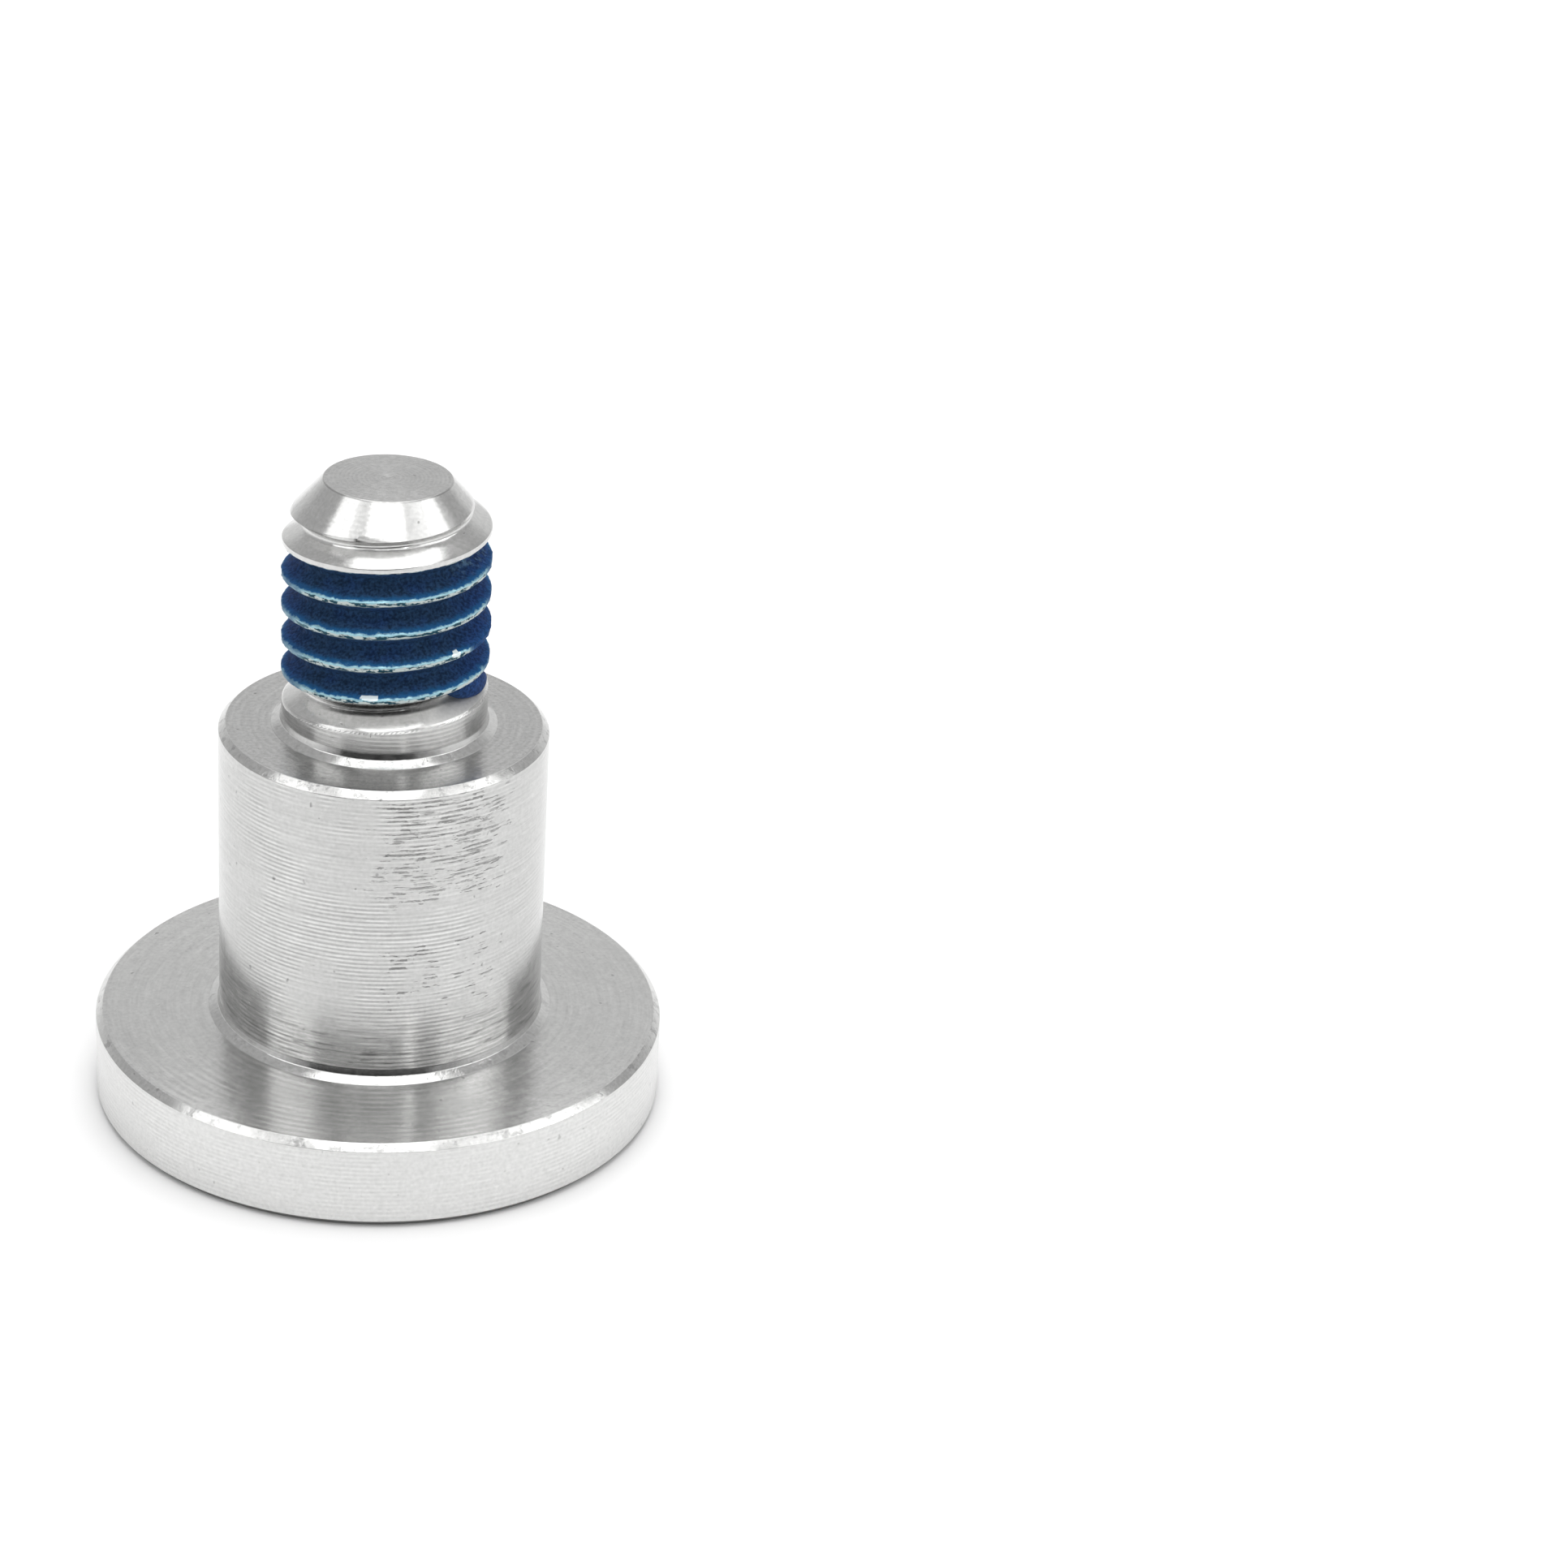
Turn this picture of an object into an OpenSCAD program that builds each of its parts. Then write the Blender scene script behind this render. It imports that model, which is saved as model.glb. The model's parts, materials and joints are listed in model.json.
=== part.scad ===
// Shoulder bolt with a low round head, turned from bar in one piece, and the blue
// nylon patch that locks its thread. It stands on the outer face of its head.
// The origin is the centre of that face, and +Z runs along the axis to the tip.
// All lengths are in millimetres and all angles in degrees.

/* [Head] */
// Diameter of the flat round head
head_d = 16.9; // [13:0.1:24]
// Thickness of the head, from its outer face to the seat
head_t = 2.7; // [2:0.1:6]
// Chamfer on both rims of the head
head_chamfer = 0.2; // [0.1:0.05:0.6]

/* [Hex socket] */
// Size of the hex key, across its flats
socket_af = 4; // [2.5:0.5:5]
// Depth of the full hexagon below the outer face of the head
socket_depth = 2.4; // [1.5:0.1:4]
// Width of the lead-in beyond the hexagon's corners, at the mouth of the socket
socket_chamfer = 0.25; // [0.1:0.05:0.6]
// Included angle of the drill point at the bottom of the socket
drill_angle = 118; // [90:1:140]
// Ledge that the key form leaves around the drill point
drill_ledge = 0.15; // [0.05:0.05:0.4]

/* [Shoulder] */
// Diameter of the shoulder, the bearing surface
shoulder_d = 9.6; // [8:0.1:12]
// Length of the shoulder, from the seat to its end face
shoulder_len = 9.3; // [4:0.1:40]
// Chamfer on the rim of the shoulder's end face
shoulder_chamfer = 0.2; // [0.1:0.05:0.5]
// Fillet between the seat and the shoulder
seat_fillet = 0.5; // [0.1:0.05:0.8]

/* [Threaded end] */
// Major diameter of the thread, and of the plain neck behind it
thread_d = 5.97; // [5:0.01:7]
// Pitch of the 60 degree right-hand thread
pitch = 1; // [0.7:0.05:1.2]
// Length of the threaded end, from the shoulder's end face to the tip
stud_len = 7.6; // [6:0.1:11]
// Height above the shoulder's end face at which the groove runs out
neck_len = 0.9; // [0.7:0.05:1.6]
// Fillet between the neck and the shoulder's end face
neck_fillet = 0.5; // [0.1:0.05:0.6]
// Diameter of the flat on the tip
tip_d = 3.65; // [2.5:0.05:4]
// Length of the cone that leads the thread in at the tip
tip_chamfer = 1.3; // [0.8:0.05:2]
// Direction in which the groove runs out, from +X towards +Y
runout_at = 65; // [0:1:359]
// Turn over which the groove fades from its full depth to nothing
runout_turn = 110; // [45:5:180]

/* [Locking patch] */
// Thickness of the nylon film on the thread's flanks
film_t = 0.08; // [0.04:0.01:0.12]
// Depth left bare between the crests and the edges of the film
film_bare = 0.06; // [0.02:0.01:0.12]
// Height of the film's first end above the height of the run-out
film_start = 0.7; // [0.4:0.05:1.2]
// Thread left bare between the film's far end and the cone of the tip
film_stop = 0.4; // [0.4:0.05:2]
// Share of the groove that the drop of nylon at the film's first end fills
drop_fill = 0.95; // [0.5:0.05:1]
// Turn over which that drop thins out to the film
drop_turn = 70; // [40:5:150]
// Bond line between the film and the metal
bond_gap = 0.01; // [0.005:0.005:0.02]

/* [Hidden] */
$fn = 96;

// Levels along the axis
seat_z = head_t;
shoulder_z = seat_z + shoulder_len;
tip_z = shoulder_z + stud_len;
cone_z = tip_z - tip_chamfer;
runout_z = shoulder_z + neck_len;

// Radii of the turned outline
head_r = head_d / 2;
shoulder_r = shoulder_d / 2;
thread_r = thread_d / 2;
tip_r = tip_d / 2;

// Reach of each cutting shape into the open air
air = 0.3;

// Basic profile of the thread: crests an eighth of the pitch wide, flanks at 30
// degrees to the plane of the turn, and a round root that both flanks run into. The
// flanks of the cutting shape go on to a mouth that is wider than the groove.
flank = 30;
crest_flat = pitch / 8;
groove_half = (pitch - crest_flat) / 2;
mouth_share = 0.8;
mouth_half = groove_half + mouth_share * crest_flat / 2;
mouth_rise = (mouth_half - groove_half) / tan(flank);
root_r = 0.1443 * pitch;
root_arc = 2 * (90 - flank);
root_sides = 3;

// Places around one turn at which the swept shapes have a section. The round root has
// an odd number of sides, so that every section has an even number of points.
turn_sections = 48;

// Half the width of a groove outline at a depth below the crests. The inset moves
// the outline inwards, as a coat of that thickness does.
function half_width(depth, inset) =
    groove_half - depth * tan(flank) - inset / cos(flank);

// Depth at which the centre of the round root lies, for the same outline
function root_centre(inset) = half_width(0, inset) / tan(flank) - root_r / sin(flank);

// Outline of the groove from one flank to the other, with its ends at a depth of
// `top`, as points of [height above the middle of the groove, depth]
function groove_outline(inset, top) = concat(
    [[half_width(top, inset), top]],
    [for (i = [0:root_sides])
        let (a = root_arc / 2 - i * root_arc / root_sides)
        [root_r * sin(a), root_centre(inset) + root_r * cos(a)]],
    [[-half_width(top, inset), top]]);

// Full depth of the thread, and the height at which the cone has shrunk to its root
thread_depth = root_centre(0) + root_r;
cone_slope = (thread_r - tip_r) / tip_chamfer;
root_exit_z = tip_z - (thread_r - thread_depth - tip_r) / cone_slope;

// Turns that the groove makes, until all of it has left the cone
groove_turns = (root_exit_z + root_r - runout_z) / pitch;

// Turns that the film makes, and the thickest coat that the groove has room for:
// there the flanks keep a short straight stretch above the round root
film_turns = (cone_z - film_stop - runout_z - film_start) / pitch;
coat_limit = cos(flank)
    * (groove_half - tan(flank) * (film_bare + root_r / sin(flank) - root_r / 2));

// A value between 0 and 1, and a smooth rise from 0 to 1
function clamp(x) = min(1, max(0, x));
function ease(x) = let (u = clamp(x)) u * u * (3 - 2 * u);

// Thickness of the film at an angle from its first end, and to its far end: a full
// drop that thins out, and a feathered stop
feather_turn = 20;
thin_share = 0.25;
function film_at(from_start, to_stop) =
    let (
        drop = drop_fill * coat_limit - bond_gap,
        body = film_t + (drop - film_t) * (1 - ease(from_start / drop_turn)),
        ends = min(ease(from_start / feather_turn), ease(to_stop / feather_turn)))
    body * (thin_share + (1 - thin_share) * ends);

// The place of a point that is `height` above the middle of the groove and `depth`
// below the crests, after that many turns from the run-out
function on_helix(turns, height, depth) =
    let (a = runout_at + 360 * turns, r = thread_r - depth)
    [r * cos(a), r * sin(a), runout_z + pitch * turns + height];

// Closed skin over sections that all have the same, even number of points. Each end
// is closed by a ladder of faces, from the section's two ends to its middle.
module swept_skin(sections) {
    count = len(sections[0]);
    last = len(sections) - 1;
    ladder = [for (i = [0:count / 2 - 2]) [i, count - 1 - i, count - 2 - i, i + 1]];
    sides = [for (s = [0:last - 1], i = [0:count - 1])
        let (a = s * count, b = a + count, j = (i + 1) % count)
        each [[a + i, b + j, b + i], [a + i, a + j, b + j]]];
    first_cap = ladder;
    last_cap = [for (q = ladder) [for (k = [3:-1:0]) last * count + q[k]]];
    polyhedron(
        points = [for (s = sections) each s],
        faces = concat(first_cap, sides, last_cap),
        convexity = 12);
}

// Hollow corner filled by a fillet, with the corner at the origin
module fillet_corner(r) {
    difference() {
        square(r);
        translate([r, r]) circle(r);
    }
}

// Half of the turned blank's section: head, shoulder, neck and tip
module blank_section() {
    polygon([
        [0, 0],
        [head_r - head_chamfer, 0],
        [head_r, head_chamfer],
        [head_r, seat_z - head_chamfer],
        [head_r - head_chamfer, seat_z],
        [shoulder_r, seat_z],
        [shoulder_r, shoulder_z - shoulder_chamfer],
        [shoulder_r - shoulder_chamfer, shoulder_z],
        [thread_r, shoulder_z],
        [thread_r, cone_z],
        [tip_r, tip_z],
        [0, tip_z]]);
    translate([shoulder_r, seat_z]) fillet_corner(seat_fillet);
    translate([thread_r, shoulder_z]) fillet_corner(neck_fillet);
}

// The helical groove of the thread. Its flanks go on past the crests, so that they
// cross the blank's surface. Where it runs out, it rises out of the metal.
module thread_groove() {
    outline = groove_outline(0, -mouth_rise);
    steps = ceil(groove_turns * turn_sections);
    swept_skin([for (s = [0:steps])
        let (
            turns = s / turn_sections,
            lift = (thread_depth + air / 2) * (1 - ease(360 * turns / runout_turn)))
        concat(
            [on_helix(turns, mouth_half, -air - lift)],
            [for (p = outline) on_helix(turns, p[0], p[1] - lift)],
            [on_helix(turns, -mouth_half, -air - lift)])]);
}

// Hexagonal socket for the key. A conical lead-in at 45 degrees cuts a scallop into
// each flat, and a drill point is left at the bottom.
module key_socket() {
    corner_r = socket_af / 2 / cos(30);
    drill_r = socket_af / 2 - drill_ledge;
    mouth_r = corner_r + socket_chamfer;
    translate([0, 0, -air])
        linear_extrude(socket_depth + air) circle(corner_r, $fn = 6);
    translate([0, 0, -air])
        cylinder(h = air + mouth_r - drill_r, r1 = mouth_r + air, r2 = drill_r);
    translate([0, 0, socket_depth - drill_ledge])
        cylinder(h = drill_ledge, r = drill_r);
    translate([0, 0, socket_depth])
        cylinder(h = drill_r / tan(drill_angle / 2), r1 = drill_r, r2 = 0);
}

// The metal bolt, one turned piece
module bolt() {
    color("silver")
    difference() {
        rotate_extrude() blank_section();
        thread_groove();
        key_socket();
    }
}

// The nylon film in the groove, which follows the same helix and the same profile
module locking_patch() {
    back = groove_outline(bond_gap, film_bare);
    steps = round(film_turns * turn_sections);
    color([0.08, 0.25, 0.5])
    swept_skin([for (s = [0:steps])
        let (
            turns = film_start / pitch + s / turn_sections,
            film = film_at(360 * s / turn_sections, 360 * (steps - s) / turn_sections),
            face = groove_outline(bond_gap + film, film_bare))
        concat(
            [for (p = back) on_helix(turns, p[0], p[1])],
            [for (i = [len(face) - 1:-1:0]) on_helix(turns, face[i][0], face[i][1])])]);
}

bolt();
locking_patch();
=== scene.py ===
"""Looks of a shoulder bolt that stands on its head: turned metal and a nylon locking film.

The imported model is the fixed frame. Shapes are worked out in millimetres, in the frame's
directions: the origin is the centre of the head's outer face and +Z runs to the tip.
"""

from __future__ import annotations

import json
import logging
import math
from dataclasses import dataclass
from enum import Enum
from functools import cached_property

import bpy
import numpy as np
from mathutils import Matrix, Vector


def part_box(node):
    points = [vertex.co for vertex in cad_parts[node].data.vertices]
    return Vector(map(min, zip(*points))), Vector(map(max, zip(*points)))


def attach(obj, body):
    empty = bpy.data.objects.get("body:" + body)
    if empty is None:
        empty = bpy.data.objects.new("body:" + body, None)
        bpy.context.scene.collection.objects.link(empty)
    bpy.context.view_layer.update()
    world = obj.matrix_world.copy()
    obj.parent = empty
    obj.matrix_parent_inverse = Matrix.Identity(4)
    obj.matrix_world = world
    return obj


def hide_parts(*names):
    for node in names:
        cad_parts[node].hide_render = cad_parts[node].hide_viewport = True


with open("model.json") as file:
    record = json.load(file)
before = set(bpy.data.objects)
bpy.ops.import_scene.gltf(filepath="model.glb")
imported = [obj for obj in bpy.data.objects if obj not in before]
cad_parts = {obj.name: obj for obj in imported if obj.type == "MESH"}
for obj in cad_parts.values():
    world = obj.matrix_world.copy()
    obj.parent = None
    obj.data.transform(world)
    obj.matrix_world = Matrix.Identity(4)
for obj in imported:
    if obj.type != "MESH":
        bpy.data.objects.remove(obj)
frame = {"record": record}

LOG = logging.getLogger("shoulder_bolt")
MM = 0.001
BODY = "root"
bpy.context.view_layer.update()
COLUMNS = 288
ARC_POINTS = 7
BEAD_RINGS = 23
BEAD_COLUMNS = 48
SHARP_EDGE = math.radians(32.0)
WHITE = (1.0, 1.0, 1.0, 1.0)
Socket = bpy.types.NodeSocket
Colour = tuple[float, float, float, float]
Triple = tuple[float, float, float]
Span = tuple[float, float]


def smooth_step(low: float, high: float, value: np.ndarray) -> np.ndarray:
    """Rise from 0 at low to 1 at high, with level ends: u * u * (3 - 2 * u).

    Args:
        low: Value at which the rise starts.
        high: Value at which it ends.
        value: Values to place on the rise.

    Returns:
        The height of the rise at each value.
    """
    share = np.clip((value - low) / (high - low), 0.0, 1.0)
    return share * share * (3.0 - 2.0 * share)


def smooth_min(one: np.ndarray, other: np.ndarray, blend: float) -> np.ndarray:
    """Smaller of two surfaces, with the edge where they cross rounded over `blend`.

    Args:
        one: First surface.
        other: Second surface.
        blend: Difference of height within which the two are mixed.

    Returns:
        Their mix by a share that runs from 0 to 1 across the edge, less a bump of
        blend * share * (1 - share).
    """
    share = np.clip(0.5 + 0.5 * (other - one) / blend, 0.0, 1.0)
    return other * (1.0 - share) + one * share - blend * share * (1.0 - share)


@dataclass(frozen=True)
class RimNoise:
    """Smooth noise on a cylinder, without a seam.

    It is a sum of cosines of (waves round * angle + waves along * height + phase),
    where the waves round are whole numbers.
    """

    seed: int
    round_waves: int
    along_waves: float
    terms: int = 24

    def at(self, angle: np.ndarray, height: np.ndarray) -> np.ndarray:
        """Noise at places on the cylinder.

        Args:
            angle: Direction of each place, in radians.
            height: Height of each place, in millimetres.

        Returns:
            Values that lie mostly between -1 and 1.
        """
        draw = np.random.default_rng(self.seed)
        total = np.zeros(np.broadcast(angle, height).shape)
        for _ in range(self.terms):
            turns = int(draw.integers(1, self.round_waves + 1)) * int(draw.choice((-1, 1)))
            along = draw.uniform(0.15, 1.0) * self.along_waves
            phase = draw.uniform(0.0, 2.0 * math.pi)
            total += np.cos(turns * angle + along * height + phase)
        return total / math.sqrt(self.terms / 2.0) / 1.5


@dataclass(frozen=True)
class BoltSizes:
    """Sizes of the turned blank in millimetres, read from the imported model."""

    head_r: float
    tip_z: float
    seat_z: float
    shoulder_z: float
    shoulder_r: float
    thread_r: float
    rim_chamfer: float = 0.2
    shoulder_chamfer: float = 0.2
    corner_rise: float = 0.18
    corner_run: float = 0.31
    crease_run: float = 0.05
    crease_rise: float = 0.36
    flare_rise: float = 0.02
    seat_flare: float = 1.3
    neck_flare: float = 1.1
    foot_chamfer: float = 0.2
    tip_r: float = 1.825
    tip_chamfer: float = 1.3
    socket_af: float = 4.0
    socket_depth: float = 2.4
    socket_lead_in: float = 0.25
    drill_angle: float = 118.0
    drill_ledge: float = 0.15

    @classmethod
    def from_frame(cls) -> BoltSizes:
        """Reads the sizes that the frame holds.

        Returns:
            The sizes, with the head and the tip from the bolt's box and the rest from
            the record's mounts.
        """
        mounts = {mount["name"]: mount for mount in frame["record"]["mounts"]}
        low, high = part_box("bolt")
        return cls(
            head_r=(high.x - low.x) / 2.0 / MM,
            tip_z=high.z / MM,
            seat_z=mounts["seat"]["pos_m"][2] / MM,
            shoulder_z=mounts["shoulder_end"]["pos_m"][2] / MM,
            shoulder_r=mounts["shoulder"]["dims"]["r_mm"],
            thread_r=mounts["thread"]["dims"]["r_mm"],
        )

    @property
    def socket_mouth_r(self) -> float:
        """Radius of the lead-in at the head's face, past the corners of the hexagon."""
        return self.socket_af / 2.0 / math.cos(math.pi / 6.0) + self.socket_lead_in

    @property
    def cone_z(self) -> float:
        """Height at which the cone of the tip starts."""
        return self.tip_z - self.tip_chamfer

    def cone_radius(self, height: np.ndarray) -> np.ndarray:
        """Radius of the tip's cone at each height, on past the crests below it."""
        slope = (self.thread_r - self.tip_r) / self.tip_chamfer
        return self.thread_r - slope * (height - self.cone_z)


@dataclass(frozen=True)
class ThreadForm:
    """Right-hand 60 degree thread in millimetres, as the groove of the frame runs.

    The lower edge of the groove's first turn has a wider rounding, and soft_turns are
    the turns from the run-out where it starts, is full, starts to fade and ends. Close
    rows of the grid start at edge_margin from the groove's edge.
    """

    sizes: BoltSizes
    pitch: float = 1.0
    flank: float = math.radians(30.0)
    root_share: float = 0.1443
    neck_len: float = 0.9
    runout_at: float = math.radians(65.0)
    runout_turn: float = 110.0 / 360.0
    lift_reserve: float = 0.15
    edge_round: float = 0.035
    runout_round: float = 0.11
    soft_turns: tuple[float, float, float, float] = (0.2, 0.45, 0.9, 1.1)
    cone_blend: float = 0.05
    edge_margin: float = 0.05

    @property
    def runout_z(self) -> float:
        """Height at which the groove runs out."""
        return self.sizes.shoulder_z + self.neck_len

    @property
    def groove_half(self) -> float:
        """Half the groove's width at the crests, which are an eighth of the pitch."""
        return (self.pitch - self.pitch / 8.0) / 2.0

    @property
    def root_round(self) -> float:
        """Radius of the root."""
        return self.root_share * self.pitch

    @property
    def root_centre(self) -> float:
        """Depth at which the centre of the round root lies."""
        return self.groove_half / math.tan(self.flank) - self.root_round / math.sin(self.flank)

    def place(self, angle: np.ndarray, height: np.ndarray) -> tuple[np.ndarray, np.ndarray]:
        """Nearest groove of each place.

        The middle of the groove climbs by one pitch a turn from the run-out.

        Args:
            angle: Direction of each place, in radians.
            height: Height of each place.

        Returns:
            The turns from the run-out to that groove in this direction, and the height
            of the place above the groove's middle.
        """
        part = np.mod((angle - self.runout_at) / (2.0 * math.pi), 1.0)
        climbed = (height - self.runout_z) / self.pitch
        turns = np.round(climbed - part) + part
        return turns, (climbed - turns) * self.pitch

    def depth(self, offset: np.ndarray, edge: np.ndarray) -> np.ndarray:
        """Depth of the groove's profile below the crests.

        It falls along the straight flank and follows the round root, and the edge of the
        crest is rounded.

        Args:
            offset: Height above the groove's middle.
            edge: Rounding of the groove's edges.

        Returns:
            The depth, which is 0 on the crest.
        """
        across = np.abs(offset)
        flank = (self.groove_half - across) / math.tan(self.flank)
        root = self.root_centre + np.sqrt(np.maximum(self.root_round**2 - across**2, 0.0))
        on_root = across < self.root_round * math.cos(self.flank)
        groove = np.where(on_root, root, flank)
        lifted = np.sqrt(groove**2 + edge**2)
        return (groove + lifted) / 2.0

    def lift(self, turns: np.ndarray) -> np.ndarray:
        """Height by which the groove has risen out of the metal near its run-out."""
        full = self.root_centre + self.root_round + self.lift_reserve
        return full * (1.0 - smooth_step(0.0, self.runout_turn, turns))

    def radius(self, angle: np.ndarray, height: np.ndarray) -> np.ndarray:
        """Radius of the metal on the neck, the thread and the tip's cone.

        Args:
            angle: Direction of each place, in radians.
            height: Height of each place.

        Returns:
            The crest radius less what the groove takes, within the cone.
        """
        turns, offset = self.place(angle, height)
        start, full, fading, end = self.soft_turns
        lowest = smooth_step(start, full, turns) - smooth_step(fading, end, turns)
        edge = self.edge_round + self.runout_round * lowest * (offset < 0.0)
        cut = np.maximum(self.depth(offset, edge) - self.lift(turns), 0.0)
        cut = np.where(turns < 0.0, 0.0, cut)
        crest_dip = self.edge_round / 2.0
        body = self.sizes.thread_r - np.maximum(cut - crest_dip, 0.0)
        return smooth_min(body, self.sizes.cone_radius(height), self.cone_blend)


class HelixGrid:
    """Rows that climb with the thread, on columns in fixed directions.

    A row's height is the run-out's height plus the pitch times (the row's turns + the
    column's share of a turn), held between a lowest and a highest level. Past its last
    column a row goes on as the row one turn higher.
    """

    def __init__(self, thread: ThreadForm, low: float, high: float, knots: np.ndarray) -> None:
        """Lays out the rows.

        Args:
            thread: The thread that the rows follow.
            low: Lowest level.
            high: Highest level.
            knots: Places of the rows within one pitch, from 0 up to 1.
        """
        self.low, self.high = low, high
        self.rows_per_turn = len(knots)
        first = math.floor((low - thread.runout_z) / thread.pitch) - 1
        last = math.ceil((high - thread.runout_z) / thread.pitch) + 1
        turns = (np.arange(first, last)[:, None] + knots[None, :]).ravel()
        self.row_turns = turns
        share = np.arange(COLUMNS) / COLUMNS
        self.angle = column_angles(thread)[None, :] + np.zeros((len(turns), 1))
        climb = thread.runout_z + thread.pitch * (turns[:, None] + share[None, :])
        self.below, self.above = climb <= low, climb >= high
        self.height = np.clip(climb, low, high)

    def index(self, base: int) -> np.ndarray:
        """Numbers of the grid's points, where all that is held at a level is one ring.

        Args:
            base: Number of the lowest ring's first point. The highest ring comes next,
                and then the grid's own points.

        Returns:
            One number for each row and column.
        """
        rows, columns = self.height.shape
        own = base + 2 * columns + np.arange(rows * columns).reshape(rows, columns)
        ring = np.arange(columns)[None, :] + np.zeros((rows, 1), int)
        own = np.where(self.below, base + ring, own)
        return np.where(self.above, base + columns + ring, own)

    def cells(self, index: np.ndarray) -> np.ndarray:
        """Four corners of each cell, counter-clockwise from outside.

        Args:
            index: The number of each point.

        Returns:
            One line of four numbers for each cell, with repeats where it has shrunk.
        """
        seam = np.vstack([index[self.rows_per_turn:, :1],
                          np.repeat(index[-1:, :1], self.rows_per_turn, axis=0)])
        right = np.hstack([index[:, 1:], seam])
        corners = (index[:-1], right[:-1], right[1:], index[1:])
        return np.stack([corner.ravel() for corner in corners], axis=1)


def column_angles(thread: ThreadForm) -> np.ndarray:
    """Direction of each column, from the one in which the groove runs out."""
    return thread.runout_at + 2.0 * math.pi * np.arange(COLUMNS) / COLUMNS


def split_cells(cells: np.ndarray) -> np.ndarray:
    """Cuts four-cornered cells into triangles and drops the shrunken ones.

    Args:
        cells: One line of four point numbers for each cell.

    Returns:
        One line of three different point numbers for each triangle.
    """
    pairs = np.vstack([cells[:, [0, 1, 2]], cells[:, [0, 2, 3]]])
    whole = (pairs[:, 0] != pairs[:, 1]) & (pairs[:, 1] != pairs[:, 2])
    return pairs[whole & (pairs[:, 0] != pairs[:, 2])]


def round_corners(corners: list[Triple]) -> np.ndarray:
    """Outline through corners, each with an arc of its own radius.

    The arc touches both sides at radius / tan(half the corner's angle) from it.

    Args:
        corners: Radius, height and rounding of each corner. The first and the last stay.

    Returns:
        Radius and height of each point of the outline, with ARC_POINTS to a corner.
    """
    points = [np.array(corners[0][:2])]
    for before, here, after in zip(corners, corners[1:], corners[2:]):
        corner = np.array(here[:2])
        back = np.array(before[:2]) - corner
        ahead = np.array(after[:2]) - corner
        back /= np.linalg.norm(back)
        ahead /= np.linalg.norm(ahead)
        half = math.acos(float(np.clip(back @ ahead, -1.0, 1.0))) / 2.0
        middle = corner + (back + ahead) / np.linalg.norm(back + ahead) * here[2] / math.sin(half)
        start = corner + back * here[2] / math.tan(half) - middle
        sweep = math.pi - 2.0 * half
        side = math.copysign(1.0, back[0] * ahead[1] - back[1] * ahead[0])
        for turn in np.linspace(0.0, -side * sweep, ARC_POINTS):
            cos, sin = math.cos(turn), math.sin(turn)
            spoke = np.array([cos * start[0] - sin * start[1], sin * start[0] + cos * start[1]])
            points.append(middle + spoke)
    points.append(np.array(corners[-1][:2]))
    return np.array(points)


class Zone(Enum):
    """Stretches of the bolt's surface that were cut in one pass, and so share a finish."""

    SOCKET = 0
    HEAD_FACE = 1
    HEAD_SIDE = 2
    SEAT = 3
    SHOULDER = 4
    SHOULDER_END = 5
    NECK = 6
    THREAD = 7
    TIP = 8
    RIM = 9
    CORNER = 10
    FOOT = 11
    CREASE = 12


def link(name: str, data: bpy.types.ID) -> bpy.types.Object:
    """Puts a new object into the scene.

    Args:
        name: Name of the object.
        data: Its mesh, lamp or camera.

    Returns:
        The object, at the origin.
    """
    made = bpy.data.objects.new(name, data)
    bpy.context.scene.collection.objects.link(made)
    return made


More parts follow.
